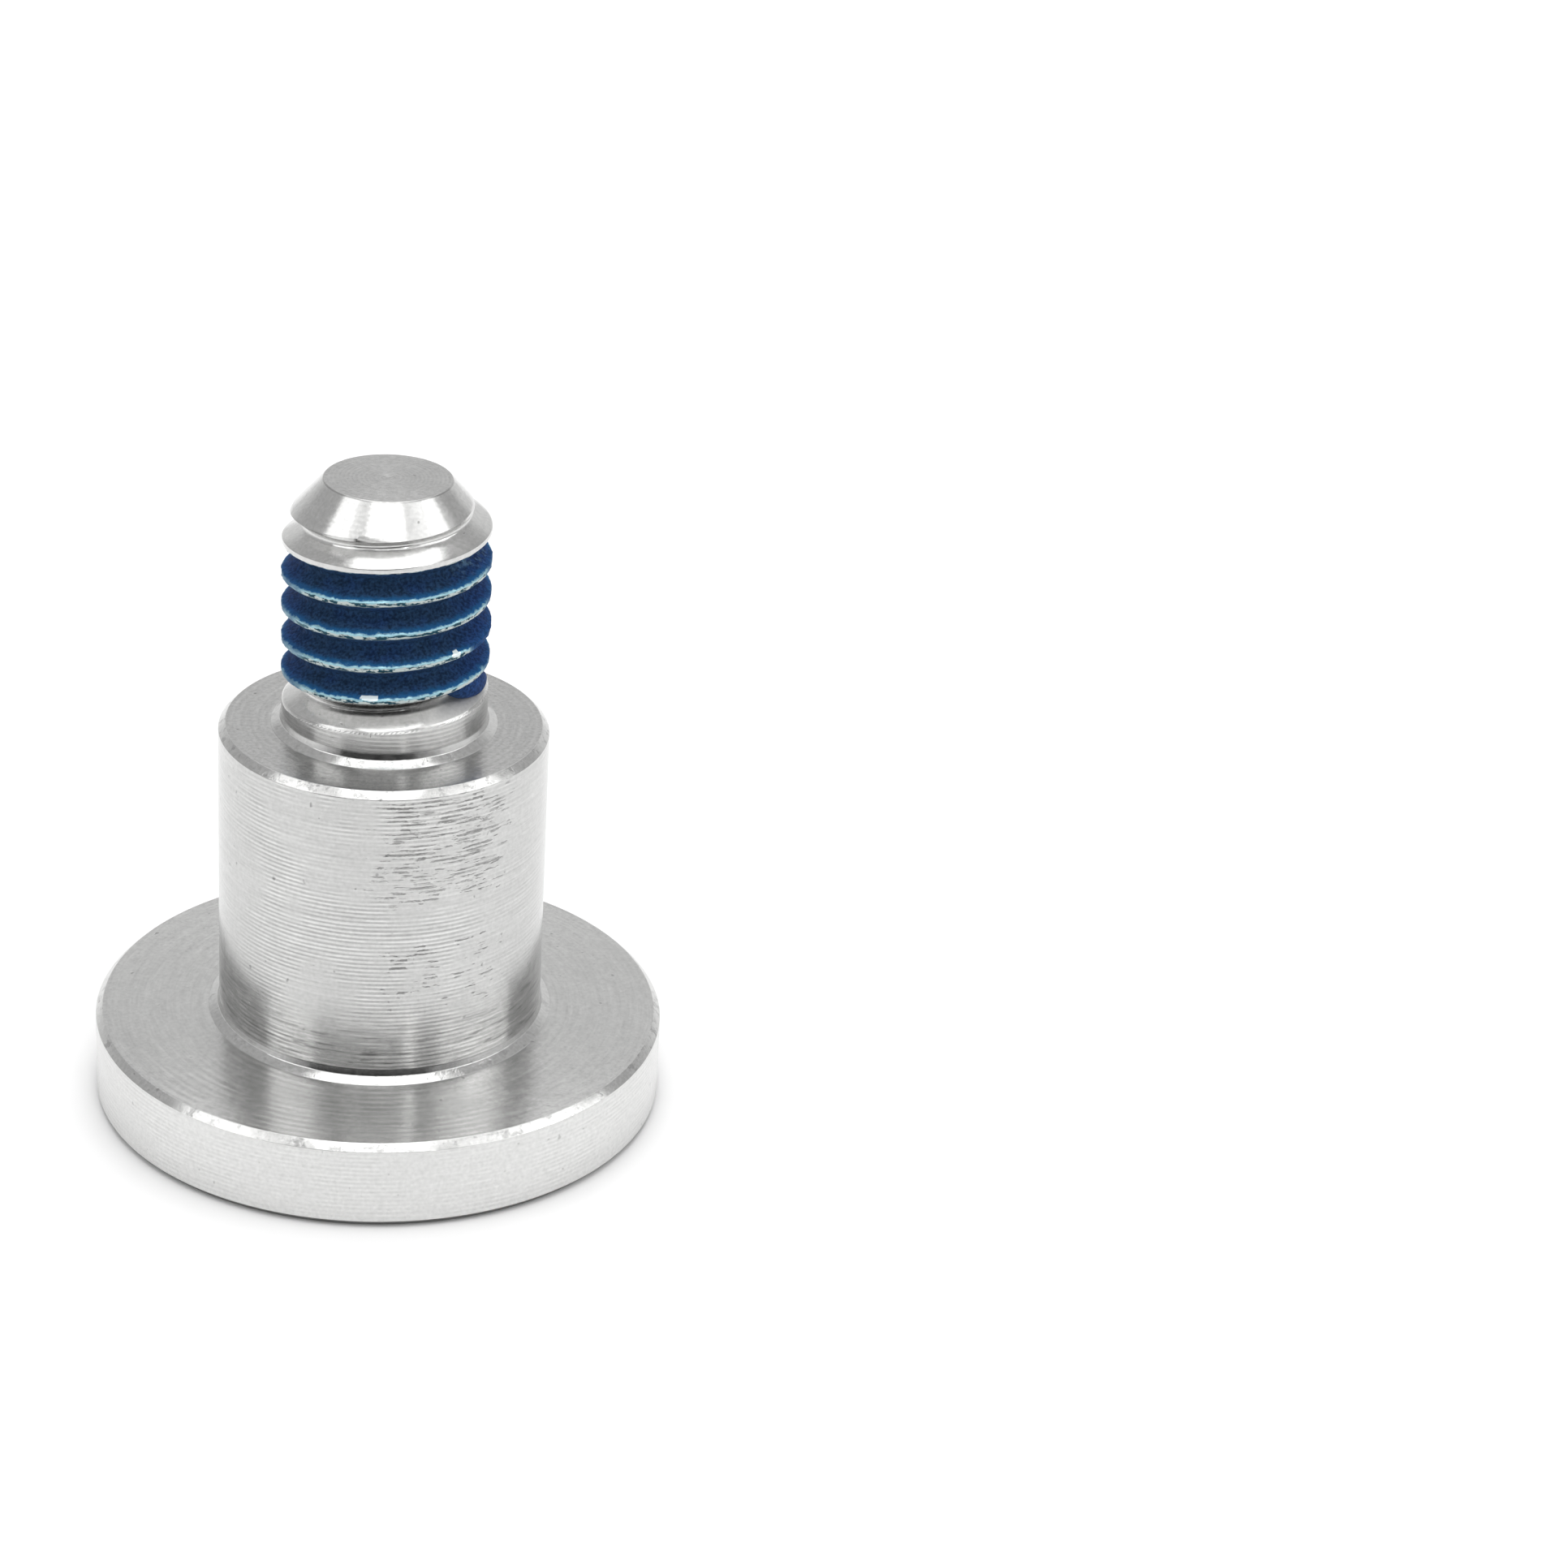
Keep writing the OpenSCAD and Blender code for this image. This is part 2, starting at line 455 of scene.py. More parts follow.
class Skin:
    """Closed skin of rings and grids, whose faces refer to its points by number."""

    def __init__(self) -> None:
        """Starts with no points and no faces."""
        self.points: list[np.ndarray] = []
        self.faces: list[tuple[np.ndarray, Zone]] = []
        self.count = 0

    def add_points(self, radius: np.ndarray, angle: np.ndarray, height: np.ndarray) -> np.ndarray:
        """Adds points given by radius, direction and height.

        Args:
            radius: Distance from the axis.
            angle: Direction in radians.
            height: Height.

        Returns:
            Their numbers, in the shape of the arrays.
        """
        radius, angle, height = np.broadcast_arrays(radius, angle, height)
        flat = np.stack([radius * np.cos(angle), radius * np.sin(angle), height], axis=-1)
        self.points.append(flat.reshape(-1, 3))
        numbers = self.count + np.arange(radius.size).reshape(radius.shape)
        self.count += radius.size
        return numbers

    def bridge(self, rings: np.ndarray, zone: Zone) -> None:
        """Joins rings, in order, by bands of faces.

        Args:
            rings: Point numbers, one line a ring.
            zone: Finish of the bands.
        """
        near, far = rings[:-1], rings[1:]
        corners = (near, np.roll(near, -1, axis=1), np.roll(far, -1, axis=1), far)
        self.faces.append((np.stack([c.ravel() for c in corners], axis=1), zone))

    def cap(self, ring: np.ndarray, height: float, zone: Zone, at_start: bool) -> None:
        """Closes a ring by a fan of triangles to a point on the axis.

        Args:
            ring: Point numbers of the ring.
            height: Height of the point.
            zone: Finish of the fan.
            at_start: True if the ring is the skin's first one.
        """
        pole = self.add_points(np.zeros(1), np.zeros(1), np.full(1, height))
        poles = np.repeat(pole, len(ring))
        following = np.roll(ring, -1)
        fan = (poles, following, ring) if at_start else (ring, following, poles)
        self.faces.append((np.stack(fan, axis=1), zone))

    def mesh(self, name: str, finishes: dict[Zone, bpy.types.Material]) -> bpy.types.Object:
        """Writes the skin into a new object, in metres.

        Args:
            name: Name of the object.
            finishes: Material of each zone.

        Returns:
            The object, at the origin.
        """
        data = bpy.data.meshes.new(name)
        points = np.vstack(self.points)
        data.vertices.add(len(points))
        data.vertices.foreach_set("co", (points * MM).astype(np.float32).ravel())
        loops = np.concatenate([face.ravel() for face, _ in self.faces])
        sizes = np.concatenate([np.full(len(face), face.shape[1]) for face, _ in self.faces])
        data.loops.add(len(loops))
        data.loops.foreach_set("vertex_index", loops.astype(np.int32))
        data.polygons.add(len(sizes))
        starts = np.concatenate([[0], np.cumsum(sizes)[:-1]])
        data.polygons.foreach_set("loop_start", starts.astype(np.int32))
        slots = list(finishes)
        worn_and_lit = np.concatenate([np.full(len(f), slots.index(zone)) for f, zone in self.faces])
        for zone in slots:
            data.materials.append(finishes[zone])
        data.polygons.foreach_set("material_index", worn_and_lit.astype(np.int32))
        data.polygons.foreach_set("use_smooth", np.ones(len(sizes), bool))
        data.update(calc_edges=True)
        data.validate()
        data.set_sharp_from_angle(angle=SHARP_EDGE)
        LOG.info("%s: %d points, %d faces", name, len(points), len(sizes))
        return link(name, data)


class Shader:
    """Short way to write a node tree."""

    def __init__(self, tree: bpy.types.NodeTree) -> None:
        """Keeps the tree and empties it.

        Args:
            tree: Node tree of a material or a world.
        """
        self.tree = tree
        tree.nodes.clear()

    def node(self, kind: str, settings: dict | None = None, **inputs: object) -> bpy.types.Node:
        """Adds a node, with its settings and its inputs set or linked.

        Args:
            kind: Type name of the node.
            settings: Values of the node's own properties.
            inputs: Value or socket for each input, by its name with _ for a space.

        Returns:
            The node.
        """
        made = self.tree.nodes.new(kind)
        for key, value in (settings or {}).items():
            setattr(made, key, value)
        for key, value in inputs.items():
            name = key.replace("_", " ")
            target = made.inputs[int(key[1:])] if key[1:].isdigit() else made.inputs[name]
            self.feed(target, value)
        return made

    def feed(self, target: Socket, value: object) -> None:
        """Links a socket to another one, or sets its value.

        Args:
            target: Input to feed.
            value: Output to link it to, or a plain value.
        """
        if isinstance(value, Socket):
            self.tree.links.new(value, target)
        else:
            target.default_value = value

    def math(self, operation: str, first: object, *others: object) -> Socket:
        """Works out one operation by Math nodes, from left to right.

        Args:
            operation: Name of the operation.
            first: First value or socket.
            *others: Values or sockets that are taken in one by one. An operation on a
                single value has none.

        Returns:
            The last node's result.
        """
        result = first
        for other in others or (0.0,):
            made = self.node("ShaderNodeMath", {"operation": operation}, i0=result, i1=other)
            result = made.outputs[0]
        return result

    def plus(self, *values: object) -> Socket:
        """Sum of values or sockets."""
        return self.math("ADD", *values)

    def less(self, *values: object) -> Socket:
        """First value or socket less the others."""
        return self.math("SUBTRACT", *values)

    def times(self, *values: object) -> Socket:
        """Product of values or sockets."""
        return self.math("MULTIPLY", *values)

    def scaled(self, colour: object, factor: object) -> Socket:
        """Colour times a factor."""
        made = self.node("ShaderNodeVectorMath", {"operation": "SCALE"}, i0=colour, Scale=factor)
        return made.outputs[0]

    def rise(self, value: object, low: float, high: float, bottom: float = 0.0,
             top: float = 1.0) -> Socket:
        """Smooth rise of a value from bottom at low to top at high."""
        made = self.node("ShaderNodeMapRange", {"interpolation_type": "SMOOTHSTEP"},
                         Value=value, From_Min=low, From_Max=high, To_Min=bottom, To_Max=top)
        return made.outputs["Result"]

    def noise(self, place: Socket, scale: float, detail: float, rough: float = 0.55) -> Socket:
        """Fractal noise, 0.5 on average, at places in millimetres."""
        made = self.node("ShaderNodeTexNoise", Vector=place, Scale=scale, Detail=detail,
                         Roughness=rough)
        return made.outputs["Fac"]

    def mix(self, share: object, one: object, two: object) -> Socket:
        """Mixes two colours.

        Args:
            share: How much of the second colour there is, from 0 to 1.
            one: First colour.
            two: Second colour.

        Returns:
            The mix.
        """
        made = self.node("ShaderNodeMix", {"data_type": "RGBA"}, i0=share)
        self.feed(made.inputs[6], one)
        self.feed(made.inputs[7], two)
        return made.outputs[2]

    def place(self, stretch: Triple = (1.0, 1.0, 1.0)) -> Socket:
        """Object coordinates in millimetres, each times its own factor."""
        made = self.node("ShaderNodeMapping",
                         Vector=self.node("ShaderNodeTexCoord").outputs["Object"],
                         Scale=tuple(factor / MM for factor in stretch))
        return made.outputs["Vector"]


def new_material(name: str) -> tuple[bpy.types.Material, Shader]:
    """Makes an empty material.

    Args:
        name: Name of the material.

    Returns:
        The material and the short way to write its nodes.
    """
    material = bpy.data.materials.new(name)
    material.use_nodes = True
    return material, Shader(material.node_tree)


class Spot:
    """Where a point of the surface lies, as sockets in millimetres."""

    def __init__(self, net: Shader) -> None:
        """Reads the object coordinates.

        Args:
            net: Node tree to add to.
        """
        self.net = net
        self.place = net.place()
        apart = net.node("ShaderNodeSeparateXYZ", Vector=self.place)
        self.x, self.y, self.z = (apart.outputs[axis] for axis in "XYZ")

    @cached_property
    def radius(self) -> Socket:
        """Distance from the axis: the root of x * x + y * y."""
        squares = (self.net.times(self.x, self.x), self.net.times(self.y, self.y))
        return self.net.math("SQRT", self.net.plus(*squares))

    def facing(self, direction: float) -> Socket:
        """How much a place faces a direction: toward = x * cos + y * sin, over the radius.

        Args:
            direction: Direction from the axis, in degrees.

        Returns:
            The cosine of the angle between that direction and the place's own.
        """
        heading = math.radians(direction)
        toward = self.net.plus(self.net.times(self.x, math.cos(heading)),
                               self.net.times(self.y, math.sin(heading)))
        return self.net.math("DIVIDE", toward, self.radius)


class Lay(Enum):
    """Direction in which the tool moved while it cut, across its lines."""

    ALONG_AXIS = "along"
    ACROSS_FACE = "across"


@dataclass(frozen=True)
class MarkPlaces:
    """Where the feed lines, the scuffs and tool marks, and the painted shade lie on the bolt.

    A side is a direction in degrees. A mark comes in over its spans, which hold cosines
    of the angle from the side where the name ends in front, and otherwise heights or
    radii in millimetres. A patch fades in over its first span and out over its second.
    """

    line_side: float = -92.0
    line_front: Span = (0.62, 0.90)
    # Side toward which the corners and the lowest groove get painted shade, standing in for dark
    # reflections.
    painted_shade_side: float = -84.0
    crease_front: Span = (0.76, 0.95)
    root_front: Span = (0.60, 0.92)
    root_r: Span = (2.55, 2.46)
    root_z: Span = (13.80, 13.65)
    low_z: Span = (5.4, 3.6)
    scuffed_side: float = -28.0
    scuffed_front: Span = (0.82, 0.95)
    scuffed_z: Span = (13.75, 13.50)
    torn_side: float = -60.0
    torn_front: Span = (math.cos(math.radians(34.0)), math.cos(math.radians(14.0)))
    upper_patch: tuple[Span, Span] = ((7.9, 8.9), (11.7, 12.0))
    lower_patch: tuple[Span, Span] = ((4.2, 5.6), (6.9, 7.6))


MARKS = MarkPlaces()


@dataclass(frozen=True)
class TurnedFinish:
    """Bare metal as the tool left it, with fine feed lines round the axis.

    Feed is the distance between the lines and line_bend how far a streak moves them, in
    millimetres, and so are the depths: line_depth is half the height of the lines, and
    torn that of the torn dashes. The other marks are shares of the steel's brightness:
    line_tone from a trough to a ridge, streak_tone, blotch and grain up and down from
    the middle, and pits, nicks, torn_tone, low_marks and the two painted shades, in the
    corners and in the lowest groove on the front side, downwards. Side_lines is the share
    of the lines that is left away from the front, and scuffed is added to the roughness
    beside the thread's run-out.
    """

    name: str
    lay: Lay
    feed: float = 0.12
    line_depth: float = 0.0012
    line_tone: float = 0.10
    line_bend: float = 0.07
    side_lines: float = 1.0
    streak_tone: float = 0.12
    blotch: float = 0.14
    blotch_depth: float = 0.003
    grain: float = 0.34
    pits: float = 0.35
    pit_depth: float = 0.0035
    nicks: float = 0.0
    nick_depth: float = 0.003
    torn: float = 0.0
    torn_tone: float = 0.44
    # Painted shade: shares by which the corners and the lowest groove are darkened on the front
    # side.
    painted_corner_shade: float = 0.0
    painted_root_shade: float = 0.0
    low_marks: float = 0.0
    scuffed: float = 0.0
    brightness: float = 1.0
    darkest: float = 0.05
    roughness: float = 0.22
    uneven_rough: float = 0.14
    anisotropic: float = 0.70
    steel: Triple = (0.640, 0.640, 0.633)

    def material(self) -> bpy.types.Material:
        """Builds the finish.

        The lines are a sine of the distance across them, in feeds, bent by the streaks
        and faded by two noises. Streaks are noise drawn out along the lines. The tint
        and the height of the surface add up the lines, the streaks and finer noise, and
        the marks are taken off both.

        Returns:
            The material.
        """
        material, net = new_material(self.name)
        at = Spot(net)
        drawn = self.drawn(at)
        streak = net.noise(drawn, 1.0, 4.0, 0.6)
        fine = net.noise(drawn, 3.1, 3.0, 0.6)
        blot = net.noise(at.place, 2.6, 3.0)
        grain = net.less(net.noise(at.place, 9.0, 2.0), 0.5)
        wave = self.wave(at, streak)
        line = net.times(wave, self.line_strength(at), net.rise(fine, 0.38, 0.55, 0.45, 1.0))
        streaks = net.less(net.plus(streak, fine), 1.0)

        tint = net.plus(1.0, net.times(line, self.line_tone / 2.0),
                        net.times(streaks, self.streak_tone),
                        net.times(net.less(blot, 0.5), self.blotch),
                        net.times(grain, self.grain))
        height = net.plus(net.times(line, self.line_depth),
                          net.times(streaks, self.line_depth * 0.6),
                          net.times(blot, self.blotch_depth))
        for mark, darkness, depth in self.marks(at, wave):
            tint = net.less(tint, net.times(mark, darkness))
            if depth > 0.0:
                height = net.less(height, net.times(mark, depth))

        tint = net.math("MAXIMUM", net.times(tint, self.brightness), self.darkest)
        rough = net.plus(self.roughness, net.times(net.less(blot, 0.5), self.uneven_rough))
        if self.scuffed > 0.0:
            beside = net.rise(at.facing(MARKS.scuffed_side), *MARKS.scuffed_front)
            below = net.times(net.rise(at.z, *MARKS.scuffed_z), self.scuffed)
            rough = net.plus(rough, net.times(beside, below))
        bump = net.node("ShaderNodeBump", Strength=1.0, Distance=MM, Height=height)
        tangent = net.node("ShaderNodeTangent", {"direction_type": "RADIAL", "axis": "Z"})
        shader = net.node("ShaderNodeBsdfPrincipled", Base_Color=net.scaled(self.steel, tint),
                          Metallic=1.0, Roughness=rough, Normal=bump.outputs[0],
                          Tangent=tangent.outputs[0], Anisotropic=self.anisotropic,
                          Anisotropic_Rotation=0.25)
        net.node("ShaderNodeOutputMaterial", Surface=shader.outputs[0])
        return material

    def drawn(self, at: Spot) -> Socket:
        """Places for noise that is drawn out along the lines and pressed together across.

        Args:
            at: Where the surface lies.

        Returns:
            The places times 9 along the axis, or times 5 along the radius of a face,
            and times 0.35 in the other directions.
        """
        net, out = at.net, 0.35
        if self.lay is Lay.ALONG_AXIS:
            return net.place((out, out, 9.0))
        drawn = net.node("ShaderNodeCombineXYZ", X=net.times(at.radius, 5.0),
                         Y=net.times(at.x, out), Z=net.times(at.y, out))
        return drawn.outputs[0]

    def wave(self, at: Spot, streak: Socket) -> Socket:
        """Feed lines: the sine of 2 pi * (distance + line_bend * streak) / feed.

        Args:
            at: Where the surface lies.
            streak: Noise that bends the lines.

        Returns:
            -1 in a trough to 1 on a ridge.
        """
        across = at.radius if self.lay is Lay.ACROSS_FACE else at.z
        bent = at.net.plus(across, at.net.times(streak, self.line_bend))
        return at.net.math("SINE", at.net.times(bent, 2.0 * math.pi / self.feed))

    def line_strength(self, at: Spot) -> Socket:
        """How strong the lines are, by a wide noise and by how much a place faces front.

        Args:
            at: Where the surface lies.

        Returns:
            The strength, which is 1 where they are whole.
        """
        strong = at.net.rise(at.net.noise(at.place, 0.55, 2.0), 0.40, 0.60, 0.15, 1.0)
        if self.side_lines == 1.0:
            return strong
        front = at.net.rise(at.facing(MARKS.line_side), *MARKS.line_front, self.side_lines)
        return at.net.times(strong, front)

    def marks(self, at: Spot, wave: Socket) -> list[tuple[Socket, float, float]]:
        """Nicks, painted shade, torn dashes and pits, as far as this finish has them.

        Nicks and pits are the peaks of a noise. Painted shade darkens the corners on the
        front side, and on the thread also deep in the lowest groove, in place of dark reflections.

        Args:
            at: Where the surface lies.
            wave: The feed lines, from -1 in a trough to 1 on a ridge.

        Returns:
            For each kind its strength from 0 to 1, how much of the brightness it takes
            and how deep it is.
        """
        net = at.net
        found = []
        if self.nicks > 0.0:
            nick = net.rise(net.noise(at.place, 2.6, 4.0, 0.7), 0.52, 0.68)
            found.append((nick, self.nicks, self.nick_depth))
        # Painted shade: the corners, and the lowest groove's root, are darkened on the front side
        # in place of dark reflections.
        if self.painted_corner_shade > 0.0:
            painted_mask = net.rise(at.facing(MARKS.painted_shade_side), *MARKS.crease_front)
            found.append((painted_mask, self.painted_corner_shade, 0.0))
        if self.painted_root_shade > 0.0:
            painted_mask = net.times(net.rise(at.facing(MARKS.painted_shade_side), *MARKS.root_front),
                             net.rise(at.radius, *MARKS.root_r), net.rise(at.z, *MARKS.root_z))
            found.append((painted_mask, self.painted_root_shade, 0.0))
        if self.low_marks > 0.0:
            cloud = net.noise(net.place((0.6, 0.6, 7.0)), 1.6, 2.0)
            pale = net.times(net.rise(cloud, 0.44, 0.34), 0.6)
            mark = net.times(net.less(net.rise(cloud, 0.56, 0.66), pale),
                             net.rise(at.z, *MARKS.low_z))
            found.append((mark, self.low_marks, 0.0))
        if self.torn > 0.0:
            found.append((self.tears(at, wave), self.torn_tone, self.torn))
        pit = net.rise(net.noise(at.place, 4.3, 1.5), 0.735, 0.77)
        found.append((pit, self.pits, self.pit_depth))
        return found

    def tears(self, at: Spot, wave: Socket) -> Socket:
        """Dark torn dashes along the feed lines, inside two patches of the shoulder.

        Args:
            at: Where the surface lies.
            wave: The feed lines, from -1 in a trough to 1 on a ridge.

        Returns:
            How far the metal is torn, from 0 to 1.
        """
        net = at.net
        beside = net.rise(at.facing(MARKS.torn_side), *MARKS.torn_front)
        upper, lower = (net.times(net.rise(at.z, *start), net.rise(at.z, *end, 1.0, 0.0))
                        for start, end in (MARKS.upper_patch, MARKS.lower_patch))
        patch = net.times(net.plus(upper, net.times(lower, 0.7)), beside)
        torn = net.noise(net.place((0.9, 0.9, 2.4)), 1.5, 3.0, 0.6)
        streak = net.noise(net.place((0.9, 0.9, 8.0)), 1.7, 3.0, 0.6)
        limit = net.less(0.76, net.times(patch, 0.26))
        area = net.rise(net.less(torn, limit), 0.0, 0.05)
        trough = net.rise(wave, 0.35, -0.55)
        dash = net.rise(streak, 0.42, 0.56, 0.35, 1.0)
        deep = net.rise(net.less(streak, limit), 0.09, 0.15)
        return net.math("MAXIMUM", net.times(area, trough, dash, 0.85), deep)


@dataclass(frozen=True)
class NylonFinish:
    """Blue nylon, deep where it lies thick and rubbed down to the metal along the crests.

    A look comes in over its spans. Those that end in above or below hold heights from
    the middle of a crest, and those that end in x or z hold places, in millimetres.
    """

    name: str = "blue_nylon"
    deep: Colour = (0.0190, 0.046, 0.100, 1.0)
    blue: Colour = (0.015, 0.044, 0.143, 1.0)
    thin_blue_and_sheen: Colour = (0.016, 0.100, 0.250, 1.0)
    sheen: Colour = (0.310, 0.520, 0.590, 1.0)
    rubbed: Colour = (0.480, 0.540, 0.530, 1.0)
    fleck: Colour = (0.020, 0.060, 0.085, 1.0)
    chipped: Colour = (0.70, 0.78, 0.80, 1.0)
    thin_above: Span = (0.22, 0.09)
    thin_below: Span = (-0.13, -0.07)
    sheen_above: Span = (0.115, 0.070)
    sheen_below: Span = (-0.115, -0.08)
    rubbed_above: Span = (0.045, 0.010)
    fleck_below: Span = (-0.085, -0.06)
    worn_wear: Span = (0.25, 0.75)
    chip_wear: Span = (1.35, 1.6)
    blue_x: Span = (1.7, 2.9)
    mottled_x: Span = (1.7, 2.5)
    mottled_z: Span = (17.2, 17.7)
    roughness: float = 0.58

    def material(self) -> bpy.types.Material:
        """Builds the finish.

        The piece's attribute "crest" is the height above the middle of the nearest crest
        in millimetres, and the attribute for rubbing and painted shade runs from 0 where the
        film is whole to 1 on a rubbed crest, and above 1 on a chip, and is lowered toward
        the sides by painted shade. From the flank above down over a crest the colour runs
        from deep blue over a lighter blue, which is partly a thinner film and partly painted
        sheen, and a painted bright sheen to rubbed metal with flecks of film.

        Returns:
            The material.
        """
        material, net = new_material(self.name)
        at = Spot(net)
        crest, wear = (net.node("ShaderNodeAttribute", {"attribute_name": name}).outputs["Fac"]
                       for name in ("crest", "wear"))
        fleck = net.noise(at.place, 4.6, 3.0, 0.65)
        grain = net.noise(at.place, 12.0, 2.0)
        lump = net.noise(at.place, 1.7, 2.0)
        level = net.plus(crest, net.times(net.less(fleck, 0.5), 0.16))
        wear = net.plus(wear, net.times(net.less(lump, 0.5), 0.5))
        worn_and_lit = net.rise(wear, *self.worn_wear)
        # Painted sheen: a bright band along each crest's upper edge, and a lighter blue band
        # beside it that is partly a thinner film and partly painted sheen.
        bright = net.times(net.rise(level, *self.sheen_above),
                           net.rise(level, *self.sheen_below), worn_and_lit)
        thinned = net.times(net.rise(level, *self.thin_above), net.rise(level, *self.thin_below),
                            net.plus(0.25, net.times(worn_and_lit, 0.75)))
        base = net.mix(thinned, self.whole(at, fleck, grain, lump), self.thin_blue_and_sheen)
        base = net.mix(bright, base, self.sheen)
        dash = net.noise(net.place((1.0, 1.0, 4.0)), 2.6, 2.0)
        dash = net.rise(net.plus(dash, net.times(grain, 0.35)), 0.70, 0.62)
        dash = net.times(dash, net.rise(level, *self.fleck_below))
        flat = net.times(net.rise(level, *self.rubbed_above), worn_and_lit)
        spots = net.mix(dash, self.rubbed, self.fleck)
        base = net.mix(net.times(flat, bright), base, spots)
        base = net.mix(net.rise(wear, *self.chip_wear), base, self.chipped)

        height = net.plus(net.times(grain, 0.012), net.times(fleck, 0.018))
        bump = net.node("ShaderNodeBump", Strength=0.7, Distance=MM, Height=height)
        shader = net.node("ShaderNodeBsdfPrincipled", Base_Color=base,
                          Roughness=net.less(self.roughness, net.times(bright, 0.26)),
                          Metallic=net.times(bright, 0.8), Normal=bump.outputs[0],
                          Specular_IOR_Level=0.03)
        net.node("ShaderNodeOutputMaterial", Surface=shader.outputs[0])
        return material

    def whole(self, at: Spot, fleck: Socket, grain: Socket, lump: Socket) -> Socket:
        """Colour of the film where it is whole, with a mottled patch at its upper right.

        Args:
            at: Where the surface lies.
            fleck: Fine noise.
            grain: Finest noise.
            lump: Coarse noise.

        Returns:
            Deep blue at the front and blue at the sides, where the blue is painted light, times a
            speckle.
        """
        net = at.net
        # Painted light: the film is bluer toward the left and right sides.
        side = net.rise(net.math("ABSOLUTE", at.x), *self.blue_x)
        share = net.math("MAXIMUM", side, net.rise(lump, 0.40, 0.80, 0.0, 0.6))
        mottled = net.times(net.rise(at.z, *self.mottled_z), net.rise(at.x, *self.mottled_x),
                            net.rise(fleck, 0.48, 0.64, 0.0, 0.26))
        base = net.mix(mottled, net.mix(share, self.deep, self.blue), self.sheen)
        return net.scaled(base, net.rise(grain, 0.30, 0.70, 0.54, 1.46))


